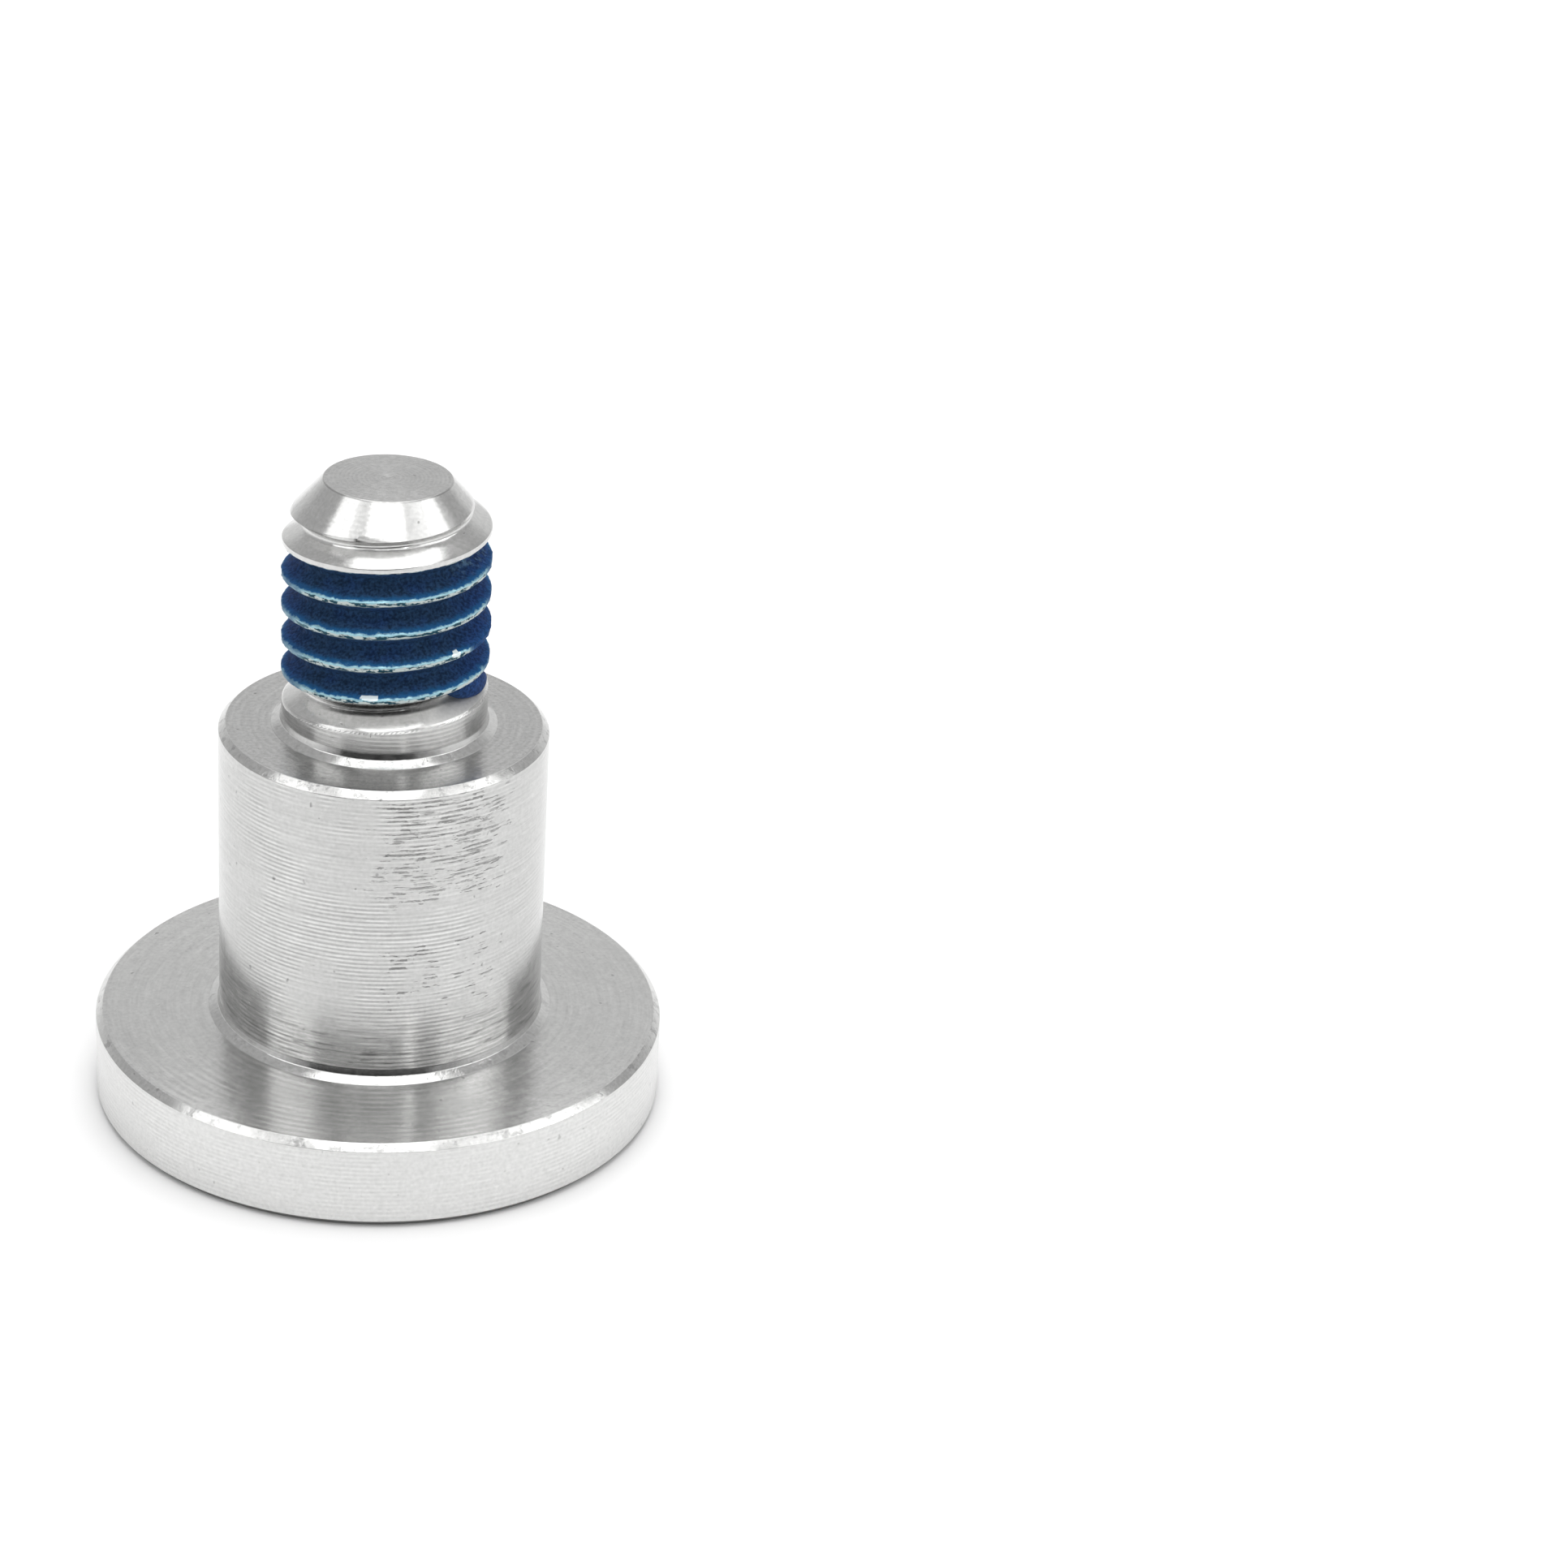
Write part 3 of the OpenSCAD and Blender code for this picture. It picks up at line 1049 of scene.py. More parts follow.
@dataclass(frozen=True)
class TurnedBolt:
    """The metal bolt: head with its key socket, shoulder, neck, thread and tip.

    The fields that end in round are the roundings of the outline's corners.
    """

    sizes: BoltSizes
    thread: ThreadForm
    edge_round: float = 0.03
    flare_round: float = 3.0
    cone_round: float = 0.06
    crease_round: float = 0.05
    wall_round: float = 0.2
    neck_rise: float = 0.56
    tip_round: float = 0.035
    face_round: float = 0.05
    dimple_r: float = 0.28
    dimple_foot_r: float = 0.10
    dimple_foot_round: float = 0.03
    dimple_depth: float = 0.012
    dimple_middle_r: float = 0.03

    def finishes(self) -> dict[Zone, bpy.types.Material]:
        """Finishes of the bolt as the tools left them. Each zone's brightness of the steel is
        tuned to how brightly its face shows under the lamps, which partly paints light and
        shade into the zones, and the crease, the foot and the thread's lowest groove carry
        painted shade.

        Returns:
            The material of each zone.
        """
        face, along = Lay.ACROSS_FACE, Lay.ALONG_AXIS
        made = {
            Zone.SOCKET: TurnedFinish("broached_socket", along, line_tone=0.0, roughness=0.35),
            Zone.HEAD_FACE: TurnedFinish("faced_head", face, feed=0.16, brightness=0.85),
            Zone.HEAD_SIDE: TurnedFinish("turned_head_side", along, feed=0.14, line_tone=0.16,
                                         brightness=1.09, blotch=0.08),
            Zone.SEAT: TurnedFinish("faced_seat", face, feed=0.26, line_tone=0.26,
                                    side_lines=0.15, streak_tone=0.26, line_depth=0.0005,
                                    brightness=0.88),
            Zone.RIM: TurnedFinish("turned_rim", along, line_tone=0.0, line_depth=0.0003,
                                   nicks=0.34),
            Zone.CORNER: TurnedFinish("turned_corner", along, line_tone=0.0, roughness=0.17,
                                      line_depth=0.0006, nicks=0.20),
            # The crease's dark line on the front side is painted shade.
            Zone.CREASE: TurnedFinish("dark_crease", along, line_tone=0.0, line_depth=0.0003,
                                      painted_corner_shade=0.62),
            # The foot chamfer's steel at 0.30 brightness is painted contact shade.
            Zone.FOOT: TurnedFinish("darkened_foot", along, line_tone=0.0, roughness=0.40,
                                    brightness=0.30),
            Zone.SHOULDER: TurnedFinish("turned_shoulder", along, feed=0.135, line_tone=0.60,
                                        side_lines=0.28, streak_tone=0.32, brightness=0.90,
                                        torn=0.02, low_marks=0.42),
            Zone.SHOULDER_END: TurnedFinish("faced_shoulder_end", face, feed=0.22,
                                            pits=0.5, pit_depth=0.005, brightness=0.75,
                                            line_depth=0.0006, grain=0.60, streak_tone=0.24),
            Zone.NECK: TurnedFinish("turned_neck", along, feed=0.13, line_tone=0.34, pits=0.6,
                                    pit_depth=0.006, brightness=0.87),
            # The thread's darker groove root on the front side is painted shade.
            Zone.THREAD: TurnedFinish("cut_thread", along, line_tone=0.0, streak_tone=0.05,
                                      line_depth=0.0005, roughness=0.19, scuffed=0.4,
                                      painted_root_shade=0.75),
            Zone.TIP: TurnedFinish("faced_tip", face, feed=0.12, line_tone=0.12,
                                   brightness=0.73, line_depth=0.0008, grain=0.50),
        }
        return {zone: finish.material() for zone, finish in made.items()}

    def hexagon(self, angle: np.ndarray) -> np.ndarray:
        """Wall of the hexagon: half the key over cos(angle to the nearest flat's middle).

        Args:
            angle: Direction of each column.

        Returns:
            Distance from the axis to the wall in each direction.
        """
        sixth = math.pi / 3.0
        aside = np.mod(angle, sixth) - sixth / 2.0
        return self.sizes.socket_af / 2.0 / np.cos(aside)

    def socket(self, skin: Skin, angle: np.ndarray) -> np.ndarray:
        """Key socket: drill point, ledge, hexagon and scalloped lead-in.

        The radius of the wall is the hexagon's, and the lead-in is a cone at 45 degrees,
        so each flat starts where the cone reaches it.

        Args:
            skin: Skin to add to.
            angle: Direction of each column.

        Returns:
            Point numbers of the ring at the socket's mouth.
        """
        size = self.sizes
        wall = self.hexagon(angle)
        drill_r = size.socket_af / 2.0 - size.drill_ledge
        mouth_r = size.socket_mouth_r
        point_z = size.socket_depth + drill_r / math.tan(math.radians(size.drill_angle / 2.0))
        cone = np.linspace(0.25, 1.0, 4)[:, None] * drill_r + 0.0 * angle[None, :]
        cone_z = point_z - (cone / drill_r) * (point_z - size.socket_depth)
        lead_z = mouth_r - wall
        down = np.linspace(0.0, 1.0, 5)[:, None]
        wall_z = size.socket_depth + (lead_z[None, :] - size.socket_depth) * down
        radius = np.vstack([cone, wall[None, :] + 0.0 * wall_z, np.full((1, COLUMNS), mouth_r)])
        height = np.vstack([cone_z, wall_z, np.zeros((1, COLUMNS))])
        rings = skin.add_points(radius, angle[None, :], height)
        skin.cap(rings[0], point_z, Zone.SOCKET, at_start=True)
        skin.bridge(rings, Zone.SOCKET)
        return rings[-1]

    def foot(self, face: Zone, radius: float, level: float,
             reach: float) -> list[tuple[Zone, list[Triple]]]:
        """Foot of a cylinder: the face rises a little, and a cone and a crease follow.

        Args:
            face: Zone of the face that the cylinder stands on.
            radius: Radius of the cylinder.
            level: Height of the face.
            reach: Distance from the cylinder at which the face starts to rise.

        Returns:
            Corners of the face's inner part, of the cone and of the crease.
        """
        size = self.sizes
        return [
            (face, [(radius + reach, level, self.flare_round),
                    (radius + size.corner_run, level + size.flare_rise, self.cone_round)]),
            (Zone.CORNER, [(radius + size.crease_run, level + size.corner_rise,
                            self.crease_round)]),
            (Zone.CREASE, [(radius, level + size.crease_rise, self.wall_round)]),
        ]

    def blank(self) -> list[tuple[Zone, list[Triple]]]:
        """Turned outline below the thread, as corners with their rounding.

        Returns:
            For each zone its corners, from the corner before it to the one after it.
        """
        size, edge = self.sizes, self.edge_round
        seat, end = size.seat_z, size.shoulder_z
        return [
            (Zone.HEAD_FACE, [(size.head_r - size.foot_chamfer, 0.0, edge)]),
            (Zone.FOOT, [(size.head_r, size.foot_chamfer, edge)]),
            (Zone.HEAD_SIDE, [(size.head_r, seat - size.rim_chamfer, edge)]),
            (Zone.RIM, [(size.head_r - size.rim_chamfer, seat, edge)]),
            *self.foot(Zone.SEAT, size.shoulder_r, seat, size.seat_flare),
            (Zone.SHOULDER, [(size.shoulder_r, end - size.shoulder_chamfer, edge)]),
            (Zone.RIM, [(size.shoulder_r - size.shoulder_chamfer, end, edge)]),
            *self.foot(Zone.SHOULDER_END, size.thread_r, end, size.neck_flare),
            (Zone.NECK, [(size.thread_r, end + self.neck_rise, 0.0)]),
        ]

    def knots(self) -> np.ndarray:
        """Places of the rows within a pitch, close together on the root and the edges.

        Returns:
            Shares of the pitch, from the middle of the groove up to the next one.
        """
        pitch = self.thread.pitch
        root = self.thread.root_round * math.cos(self.thread.flank)
        edge = self.thread.groove_half - self.thread.edge_margin
        rising = np.concatenate([np.linspace(0.0, root, 5)[:-1],
                                 np.linspace(root, edge, 4)[:-1],
                                 np.linspace(edge, pitch / 2.0, 6)])
        falling = pitch - rising[-2:0:-1]
        return np.concatenate([rising, falling]) / pitch

    def build(self) -> bpy.types.Object:
        """Builds the whole metal skin.

        Returns:
            The piece.
        """
        size = self.sizes
        skin = Skin()
        angle = column_angles(self.thread)
        last = self.socket(skin, angle)
        outline = [(size.socket_mouth_r, 0.0, 0.0)]
        zones = []
        for zone, corners in self.blank():
            for corner in corners:
                outline.append(corner)
                zones.append(zone)
        profile = round_corners(outline)
        rings = skin.add_points(profile[1:-1, :1], angle[None, :], profile[1:-1, 1:])
        rings = np.vstack([last[None, :], rings])

        grid = HelixGrid(self.thread, size.shoulder_z + self.neck_rise,
                         size.tip_z - self.tip_round, self.knots())
        low = skin.add_points(np.full(COLUMNS, size.thread_r), angle, np.full(COLUMNS, grid.low))
        top_r = float(size.cone_radius(np.array(grid.high)))
        skin.add_points(np.full(COLUMNS, top_r), angle, np.full(COLUMNS, grid.high))
        radius = self.thread.radius(grid.angle, grid.height)
        index = grid.index(int(low[0]))
        skin.add_points(radius, grid.angle, grid.height)
        rings = np.vstack([rings, low[None, :]])
        for place in range(len(rings) - 1):
            corner = min(place // ARC_POINTS, len(zones) - 1)
            skin.bridge(rings[place:place + 2], zones[corner])
        cells = grid.cells(index)
        plain = np.repeat(grid.row_turns[:-1] < -self.thread.groove_half, COLUMNS)
        skin.faces.append((split_cells(cells[plain]), Zone.NECK))
        skin.faces.append((split_cells(cells[~plain]), Zone.THREAD))
        self.tip(skin, angle, low + COLUMNS, top_r, grid.high)
        return skin.mesh("turned_bolt", self.finishes())

    def tip(self, skin: Skin, angle: np.ndarray, ring: np.ndarray, ring_r: float,
            ring_z: float) -> None:
        """Rounded rim and flat face of the tip, with the small dimple at its centre.

        Args:
            skin: Skin to add to.
            angle: Direction of each column.
            ring: Point numbers of the cone's last ring.
            ring_r: Its radius.
            ring_z: Its height.
        """
        size = self.sizes
        dimple_z = size.tip_z - self.dimple_depth
        corners = [(ring_r, ring_z, 0.0), (size.tip_r, size.tip_z, self.face_round),
                   (self.dimple_r, size.tip_z, self.face_round),
                   (self.dimple_foot_r, dimple_z, self.dimple_foot_round),
                   (self.dimple_middle_r, dimple_z, 0.0)]
        profile = round_corners(corners)
        rings = skin.add_points(profile[1:, :1], angle[None, :], profile[1:, 1:])
        rings = np.vstack([ring[None, :], rings])
        skin.bridge(rings, Zone.TIP)
        skin.cap(rings[-1], dimple_z, Zone.TIP, at_start=False)


@dataclass(frozen=True)
class Blob:
    """Oval place on the thread, by direction in degrees and height in millimetres."""

    direction: float
    height: float
    half_wide: float
    half_up: float
    half_down: float

    def square(self, angle: np.ndarray, height: np.ndarray) -> np.ndarray:
        """Sum of the squares of both distances from the middle, in halves of the oval.

        Args:
            angle: Direction of each place, in radians.
            height: Height of each place.

        Returns:
            The sum, which is 1 on the outline.
        """
        aside = angle_apart(angle, math.radians(self.direction)) / math.radians(self.half_wide)
        up = height - self.height
        return aside**2 + (up / np.where(up > 0.0, self.half_up, self.half_down))**2


def angle_apart(angle: np.ndarray, other: float) -> np.ndarray:
    """Angle from one direction to another the short way round, in radians."""
    return np.mod(angle - other + math.pi, 2.0 * math.pi) - math.pi


@dataclass(frozen=True)
class LockingFilm:
    """The nylon film: thick in the root, worn on the crests, with a drop where it starts.

    It runs from start_turns to stop_turns of the groove, and its grid from lowest above
    the shoulder to margin above the smear. The fields that end in t are thicknesses, and
    the spans are heights above or below a crest, or for the root a groove, in millimetres.
    """

    sizes: BoltSizes
    thread: ThreadForm
    start_turns: float = 0.89
    stop_turns: float = 5.0
    lowest: float = 1.2
    margin: float = 0.1
    flank_t: float = 0.028
    root_t: float = 0.10
    crest_t: float = 0.008
    least_t: float = 0.006
    hidden_t: float = 0.03
    wall_t: float = 0.01
    edge_t: float = 0.016
    crest_span: Span = (0.115, 0.055)
    worn_span: Span = (0.42, 0.34)
    root_span: Span = (0.06, 0.30)
    drop: Blob = Blob(-18.0, 13.80, 32.0, 0.36, 0.46)
    drop_square: float = 0.8
    drop_slope: float = 0.42
    drop_deep: float = 0.36
    drop_proud: float = -0.02
    smear: Blob = Blob(-8.0, 17.92, 20.0, 0.20, 0.4)
    thick: Blob = Blob(2.0, 15.25, 36.0, 0.75, 0.75)
    chips: tuple[Blob, ...] = (Blob(-91.7, 14.08, 5.0, 0.06, 0.07),
                               Blob(-41.0, 15.16, 3.2, 0.07, 0.07))
    end_noise: RimNoise = RimNoise(5, 40, 9.0)
    crest_noise: RimNoise = RimNoise(21, 70, 12.0)
    body_noise: RimNoise = RimNoise(11, 30, 6.0)
    rubbed_noise: RimNoise = RimNoise(3, 60, 9.0)
    drop_noise: RimNoise = RimNoise(8, 4, 3.0)

    def cover(self, turns: np.ndarray, angle: np.ndarray, height: np.ndarray) -> np.ndarray:
        """How surely the groove holds film, with ragged ends.

        Args:
            turns: Turns of the groove from its run-out.
            angle: Direction of each place.
            height: Height of each place.

        Returns:
            0 where there is no film to 1 where it is whole.
        """
        ragged = 0.03 * self.end_noise.at(angle, height)
        inside = np.minimum(turns - self.start_turns, self.stop_turns - turns) + ragged
        return smooth_step(-0.01, 0.03, inside)

    def thickness(self, angle: np.ndarray, height: np.ndarray) -> tuple[np.ndarray, ...]:
        """Thickness of the film, the height above the nearest crest, and how rubbed it is, with
        painted shade.

        A crest is covered where the groove above it is, with a ragged lower edge.

        Args:
            angle: Direction of each place.
            height: Height of each place.

        Returns:
            Thickness, below 0 where there is no film, height above the middle of the
            nearest crest, and how rubbed the crest is from 0 to 1, or above 1 on a chip,
            lowered by painted shade toward the sides of the bolt.
        """
        turns, offset = self.thread.place(angle, height)
        half = self.thread.pitch / 2.0
        crest = offset - np.where(offset > 0.0, half, -half)
        ragged = 0.025 * self.crest_noise.at(angle, height)
        on_crest = smooth_step(*self.crest_span, np.abs(crest + ragged))
        here = self.cover(turns, angle, height)
        above = np.where(offset > 0.0, self.cover(turns + 1.0, angle, height), here)
        cover = here * (1.0 - on_crest) + above * on_crest
        smeared = 1.0 - smooth_step(0.6, 1.0, self.smear.square(angle, height) + 4.0 * ragged)
        cover = np.maximum(cover, smeared * (crest > -0.2))

        thick = 1.0 - smooth_step(0.5, 1.3, self.thick.square(angle, height) + 6.0 * ragged)
        in_root = 1.0 - smooth_step(*self.root_span, np.abs(offset))
        lump = self.body_noise.at(angle, height)
        body = self.flank_t * (1.0 + 0.6 * thick)
        body = body + (self.root_t - self.flank_t) * in_root
        body = body * (1.0 + (0.18 + 0.25 * thick) * lump)
        rubbed = self.crest_t * (1.0 + 0.6 * self.rubbed_noise.at(angle, height) + 2.0 * thick)
        film = body * (1.0 - on_crest) + rubbed * on_crest
        film = film + self.edge_t * np.exp(-((crest - 0.10) / 0.05)**2)
        film = np.maximum(film, self.least_t)
        film = film * cover - self.hidden_t * (1.0 - cover)

        # Painted shade: the crests' rubbed sheen is dimmed toward -x and near +x, where less light
        # falls.
        painted_side_shade = 0.55 * smooth_step(0.35, 0.9, -np.cos(angle))
        painted_side_shade = painted_side_shade + 0.6 * smooth_step(0.93, 0.99, np.cos(angle))
        wear = (1.0 - 0.9 * thick - painted_side_shade) * smooth_step(*self.worn_span, np.abs(crest))
        for chip in self.chips:
            wear = np.where(chip.square(angle, height) < 1.0, 2.0, wear)
        return film, crest, wear

    def bead(self, skin: Skin) -> int:
        """Adds the drop of nylon at the film's start, as a closed lumpy bead.

        Its rings run from its lowest to its highest point. Each point lies in a
        direction from the bead's middle, at the bead's halves times sines and cosines
        raised to 0.8, which makes it squarer than an oval, and times 1 + a noise. The
        bead leans by drop_slope.

        Args:
            skin: Skin to add to.

        Returns:
            How many points were added.
        """
        drop, square = self.drop, self.drop_square
        before = skin.count
        rise = np.linspace(-0.5, 0.5, BEAD_RINGS + 2)[1:-1, None] * math.pi
        turn = np.arange(BEAD_COLUMNS)[None, :] * 2.0 * math.pi / BEAD_COLUMNS
        swell = 1.0 + 0.07 * self.drop_noise.at(turn, rise) * np.cos(rise)
        across, out = (np.sign(part) * np.abs(part)**square * np.cos(rise)**square * swell
                       for part in (np.cos(turn), np.sin(turn)))
        up = np.sin(rise) * swell
        angle = math.radians(drop.direction) + math.radians(drop.half_wide) * across
        height = drop.height + np.where(up > 0.0, drop.half_up, drop.half_down) * up
        height = height - self.drop_slope * across
        middle = self.sizes.thread_r + self.drop_proud - self.drop_deep
        rings = skin.add_points(middle - self.drop_deep * out, angle, height)
        skin.bridge(rings, Zone.THREAD)
        for ring, top in ((rings[0], False), (rings[-1], True)):
            end = drop.height + (drop.half_up if top else -drop.half_down)
            pole = skin.add_points(np.full(1, middle), np.full(1, math.radians(drop.direction)),
                                   np.full(1, end))
            poles, following = np.repeat(pole, len(ring)), np.roll(ring, -1)
            fan = (ring, following, poles) if top else (poles, following, ring)
            skin.faces.append((np.stack(fan, axis=1), Zone.THREAD))
        return skin.count - before

    def build(self) -> bpy.types.Object:
        """Builds the film as a closed shell between its surface and the metal.

        Returns:
            The piece.
        """
        low = self.sizes.shoulder_z + self.lowest
        high = self.smear.height + self.smear.half_up + self.margin
        grid = HelixGrid(self.thread, low, high, TurnedBolt(self.sizes, self.thread).knots())
        metal = self.thread.radius(grid.angle, grid.height)
        film, crest, wear = self.thickness(grid.angle, grid.height)
        outer = metal + film
        cells = grid.cells(np.arange(film.size).reshape(film.shape))
        held = (grid.below | grid.above).ravel()
        keep = (film.ravel()[cells].max(axis=1) > 0.0) & ~held[cells].all(axis=1)
        inner = np.minimum(metal - self.hidden_t - self.wall_t, outer - self.wall_t)
        return self.shell(grid, cells[keep], outer, inner, {"crest": crest, "wear": wear})

    def shell(self, grid: HelixGrid, cells: np.ndarray, outer: np.ndarray, inner: np.ndarray,
              marks: dict[str, np.ndarray]) -> bpy.types.Object:
        """Joins an outer and an inner surface along the rim of the cells that are kept.

        Args:
            grid: Grid of both surfaces.
            cells: Four point numbers of each kept cell.
            outer: Radius of the outer surface.
            inner: Radius of the inner surface.
            marks: Values of each point, by the name of their attribute.

        Returns:
            The piece.
        """
        skin = Skin()
        skin.add_points(outer, grid.angle, grid.height)
        skin.add_points(inner, grid.angle, grid.height)
        count = outer.size
        skin.faces.append((cells, Zone.THREAD))
        skin.faces.append((cells[:, ::-1] + count, Zone.THREAD))
        edges = np.vstack([cells[:, [0, 1]], cells[:, [1, 2]], cells[:, [2, 3]], cells[:, [3, 0]]])
        edges = edges[edges[:, 0] != edges[:, 1]]
        key = np.sort(edges, axis=1)
        _, first, uses = np.unique(key, axis=0, return_index=True, return_counts=True)
        rim = edges[first[uses == 1]]
        wall = np.stack([rim[:, 1], rim[:, 0], rim[:, 0] + count, rim[:, 1] + count], axis=1)
        skin.faces.append((wall, Zone.THREAD))
        on_bead = {"crest": 0.5, "wear": 0.0}
        added = self.bead(skin)
        piece = skin.mesh("locking_film", {Zone.THREAD: NylonFinish().material()})
        for name, values in marks.items():
            attribute = piece.data.attributes.new(name, "FLOAT", "POINT")
            both = np.concatenate([np.tile(values.ravel(), 2), np.full(added, on_bead[name])])
            attribute.data.foreach_set("value", both.astype(np.float32))
        return piece


@dataclass(frozen=True)
class SoftBox:
    """Soft box that faces the bolt: its direction and angles in degrees, and its light."""

    name: str
    direction: float
    elevation: float
    wide: float
    high: float
    level: float
    distance: float = 700.0

    def build(self) -> None:
        """Hangs the lamp.

        Its sides are twice the distance times the tangent of half its angles, and its
        power is the light times pi times its area.
        """
        side, rise = math.radians(self.direction), math.radians(self.elevation)
        data = bpy.data.lights.new(self.name, "AREA")
        data.shape = "RECTANGLE"
        data.size = 2.0 * self.distance * math.tan(math.radians(self.wide / 2.0)) * MM
        data.size_y = 2.0 * self.distance * math.tan(math.radians(self.high / 2.0)) * MM
        data.energy = self.level * math.pi * data.size * data.size_y
        lamp = link(self.name, data)
        lamp.visible_camera = False
        reach = self.distance * MM
        lamp.location = (reach * math.cos(rise) * math.cos(side),
                         reach * math.cos(rise) * math.sin(side), reach * math.sin(rise))
        lamp.rotation_euler = (math.pi / 2.0 - rise, 0.0, side + math.pi / 2.0)


@dataclass(frozen=True)
class Studio:
    """Plain white studio: a floor, a soft dome, nine soft boxes, a card and the camera.

    Lengths are in millimetres and the camera's turns in radians. The floor turns to the
    background's white over the distances of floor_fade. The dome's spans are heights
    and depths on a ball of radius 1, over which it rises by the light named after them.
    """

    camera_place: Triple = (12.431, -101.823, 60.490)
    yaw: float = -0.00697
    pitch: float = 0.45353
    roll: float = 0.06608
    lens: float = 89.02
    sensor: float = 36.0
    clip: Span = (1.0, 10000.0)
    floor_r: float = 1500.0
    floor_hole_r: float = 8.15
    floor_sides: int = 96
    floor_tone: Colour = (0.92, 0.92, 0.92, 1.0)
    floor_fade: Span = (150.0, 300.0)
    dome_level: float = 0.51
    horizon: Span = (0.32, 0.02)
    horizon_light: float = 0.30
    behind: Span = (0.65, 0.88)
    behind_light: float = 0.32
    card_distance: float = 115.0
    card_half: float = 95.0
    card_height: float = 45.0
    card_tone: Colour = (0.01, 0.01, 0.01, 1.0)
    boxes: tuple[SoftBox, ...] = (SoftBox("overhead_box", -86.0, 93.0, 42.0, 90.0, 1.7),
                                  SoftBox("front_low", -86.0, 31.0, 70.0, 14.0, 0.50),
                                  SoftBox("left_box", -163.0, 45.0, 21.0, 17.0, 1.3),
                                  SoftBox("left_fill", -139.0, 49.0, 20.0, 18.0, 0.95),
                                  SoftBox("right_box", -1.0, 44.0, 24.0, 17.0, 1.5),
                                  SoftBox("right_fill", -31.0, 49.0, 20.0, 18.0, 1.15),
                                  SoftBox("left_low", -148.0, 30.0, 34.0, 10.0, 2.1),
                                  SoftBox("right_low", -11.0, 30.0, 54.0, 10.0, 2.1),
                                  SoftBox("front_strip", -61.0, 34.0, 3.0, 14.0, 5.0))

    def camera(self) -> None:
        """Makes the camera, turned by its yaw, its pitch and its roll."""
        data = bpy.data.cameras.new("camera")
        data.lens = self.lens
        data.sensor_width = self.sensor
        data.clip_start, data.clip_end = (value * MM for value in self.clip)
        camera = link("camera", data)
        camera.location = tuple(value * MM for value in self.camera_place)
        ahead = np.array([math.sin(self.yaw) * math.cos(self.pitch),
                          math.cos(self.yaw) * math.cos(self.pitch), -math.sin(self.pitch)])
        level = np.array([math.cos(self.yaw), -math.sin(self.yaw), 0.0])
        above = np.cross(level, ahead)
        right = math.cos(self.roll) * level + math.sin(self.roll) * above
        top = -math.sin(self.roll) * level + math.cos(self.roll) * above
        turned = np.column_stack([right, top, -ahead])
        camera.rotation_mode = "QUATERNION"
        camera.rotation_quaternion = matrix_quaternion(turned)
        bpy.context.scene.camera = camera

    def floor(self) -> None:
        """Makes the white floor, which shows only from above and keeps the shadow.

        It is a ring that ends just under the head's edge, so that the head's face is lit
        when it is looked at from below. Far out it fades to the white of the background.
        """
        sides = self.floor_sides
        angle = np.arange(sides) * 2.0 * math.pi / sides
        around = np.column_stack([np.cos(angle), np.sin(angle), np.zeros(sides)]) * MM
        points = np.concatenate([around * self.floor_hole_r, around * self.floor_r])
        inner, following = np.arange(sides), np.roll(np.arange(sides), -1)
        faces = np.column_stack([inner, inner + sides, following + sides, following])
        data = bpy.data.meshes.new("floor")
        data.from_pydata(points.tolist(), [], faces.tolist())
        floor = link("floor", data)
        material, net = new_material("white_floor")
        near = net.node("ShaderNodeBsdfDiffuse", Color=self.floor_tone)
        white = net.node("ShaderNodeEmission", Color=WHITE, Strength=1.0)
        seen = net.node("ShaderNodeLightPath").outputs["Is Camera Ray"]
        far = net.times(net.rise(Spot(net).radius, *self.floor_fade), seen)
        top = net.node("ShaderNodeMixShader", i0=far, i1=near.outputs[0], i2=white.outputs[0])
        clear = net.node("ShaderNodeBsdfTransparent")
        side = net.node("ShaderNodeNewGeometry").outputs["Backfacing"]
        both = net.node("ShaderNodeMixShader", i0=side, i1=top.outputs[0], i2=clear.outputs[0])
        net.node("ShaderNodeOutputMaterial", Surface=both.outputs[0])
        data.materials.append(material)

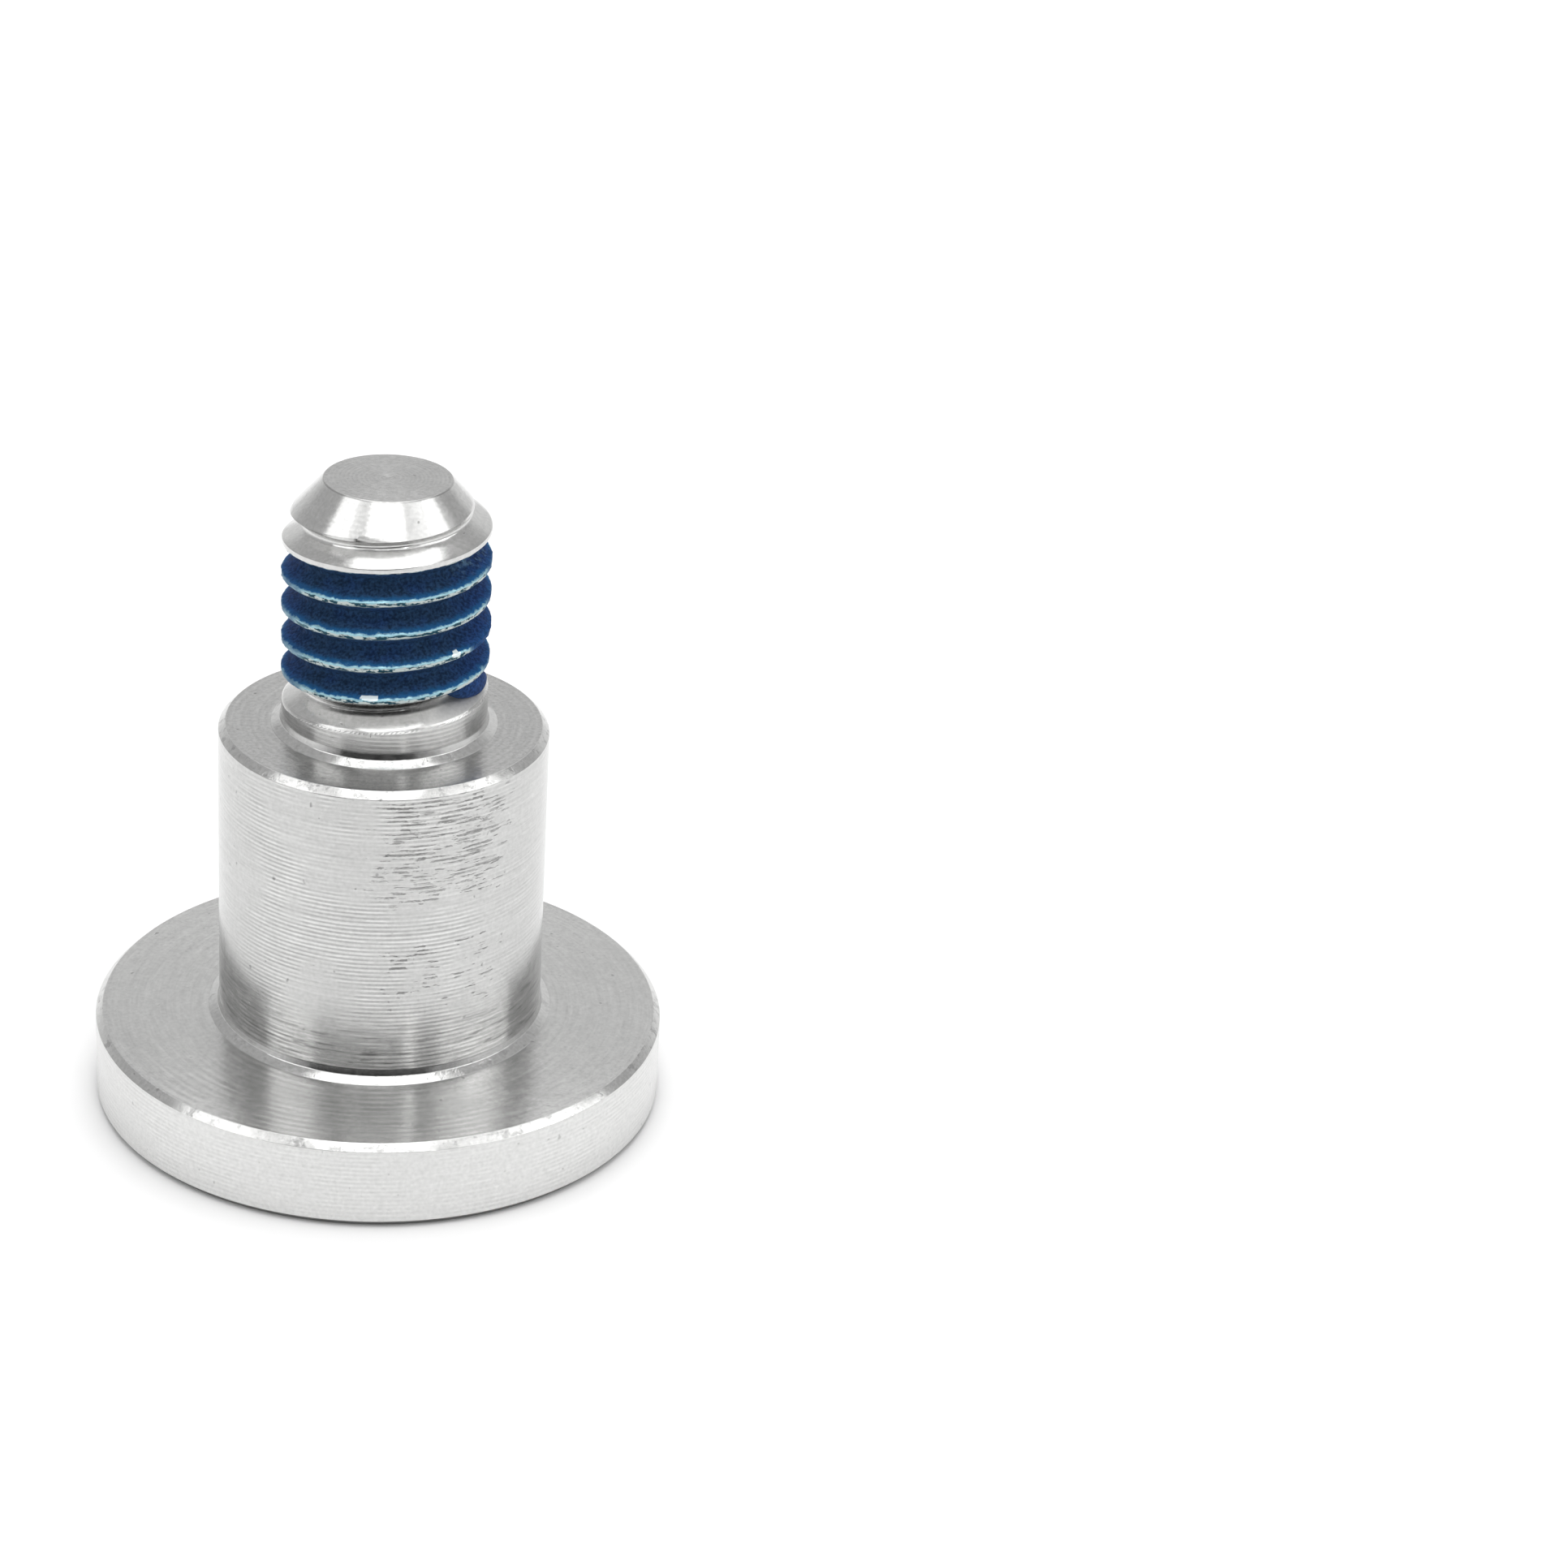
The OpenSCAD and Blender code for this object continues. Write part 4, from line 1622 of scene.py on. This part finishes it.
    def dome(self) -> None:
        """Makes the world: a soft dome, lighter near the horizon and behind the bolt.

        The camera sees it as plain white, and all other rays see the dome.
        """
        world = bpy.data.worlds.new("soft_dome")
        bpy.context.scene.world = world
        world.use_nodes = True
        net = Shader(world.node_tree)
        heading = net.node("ShaderNodeTexCoord").outputs["Generated"]
        apart = net.node("ShaderNodeSeparateXYZ", Vector=heading)
        low = net.rise(apart.outputs["Z"], *self.horizon, 0.0, self.horizon_light)
        behind = net.rise(apart.outputs["Y"], *self.behind, 0.0, self.behind_light)
        light = net.plus(self.dome_level, net.math("MAXIMUM", low, behind))
        seen = net.node("ShaderNodeLightPath").outputs["Is Camera Ray"]
        light = net.plus(net.times(light, net.less(1.0, seen)), seen)
        soft = net.node("ShaderNodeBackground", Color=WHITE, Strength=light)
        net.node("ShaderNodeOutputWorld", Surface=soft.outputs[0])

    def card(self) -> None:
        """Stands a black card in front, which draws the dark lines in the bolt's corners."""
        half, near, top = (value * MM for value in (self.card_half, -self.card_distance,
                                                    self.card_height))
        data = bpy.data.meshes.new("black_card")
        corners = [(-half, near, 0.0), (half, near, 0.0), (half, near, top), (-half, near, top)]
        data.from_pydata(corners, [], [(3, 2, 1, 0)])
        card = link("black_card", data)
        card.visible_camera = False
        material, net = new_material("black_card")
        black = net.node("ShaderNodeBsdfDiffuse", Color=self.card_tone)
        net.node("ShaderNodeOutputMaterial", Surface=black.outputs[0])
        data.materials.append(material)

    def build(self) -> None:
        """Builds the floor, the lights and the camera, with colours left plain."""
        self.camera()
        self.floor()
        self.dome()
        self.card()
        for box in self.boxes:
            box.build()
        bpy.context.scene.view_settings.view_transform = "Standard"


def matrix_quaternion(turned: np.ndarray) -> tuple[float, float, float, float]:
    """Quaternion of a turn, from its matrix with a positive trace.

    Args:
        turned: The three turned axes, as columns.

    Returns:
        The quaternion as w, x, y, z: w is half the root of 1 + the trace, and the rest
        are differences of mirrored entries over 4 w.
    """
    w = math.sqrt(1.0 + float(np.trace(turned))) / 2.0
    return (w, (turned[2, 1] - turned[1, 2]) / (4.0 * w),
            (turned[0, 2] - turned[2, 0]) / (4.0 * w),
            (turned[1, 0] - turned[0, 1]) / (4.0 * w))


def mount(piece: bpy.types.Object, node: str, slot: str) -> None:
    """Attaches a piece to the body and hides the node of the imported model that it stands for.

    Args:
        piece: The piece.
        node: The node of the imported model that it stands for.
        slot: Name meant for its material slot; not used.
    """
    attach(piece, BODY)
    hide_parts(node)


def main() -> None:
    """Builds the bolt, its film and the studio."""
    logging.basicConfig(level=logging.INFO, format="%(name)s: %(message)s")
    sizes = BoltSizes.from_frame()
    thread = ThreadForm(sizes)
    mount(TurnedBolt(sizes, thread).build(), "bolt", "turned_metal")
    mount(LockingFilm(sizes, thread).build(), "locking_patch", "blue_nylon")
    Studio().build()


if __name__ == "__main__":
    main()
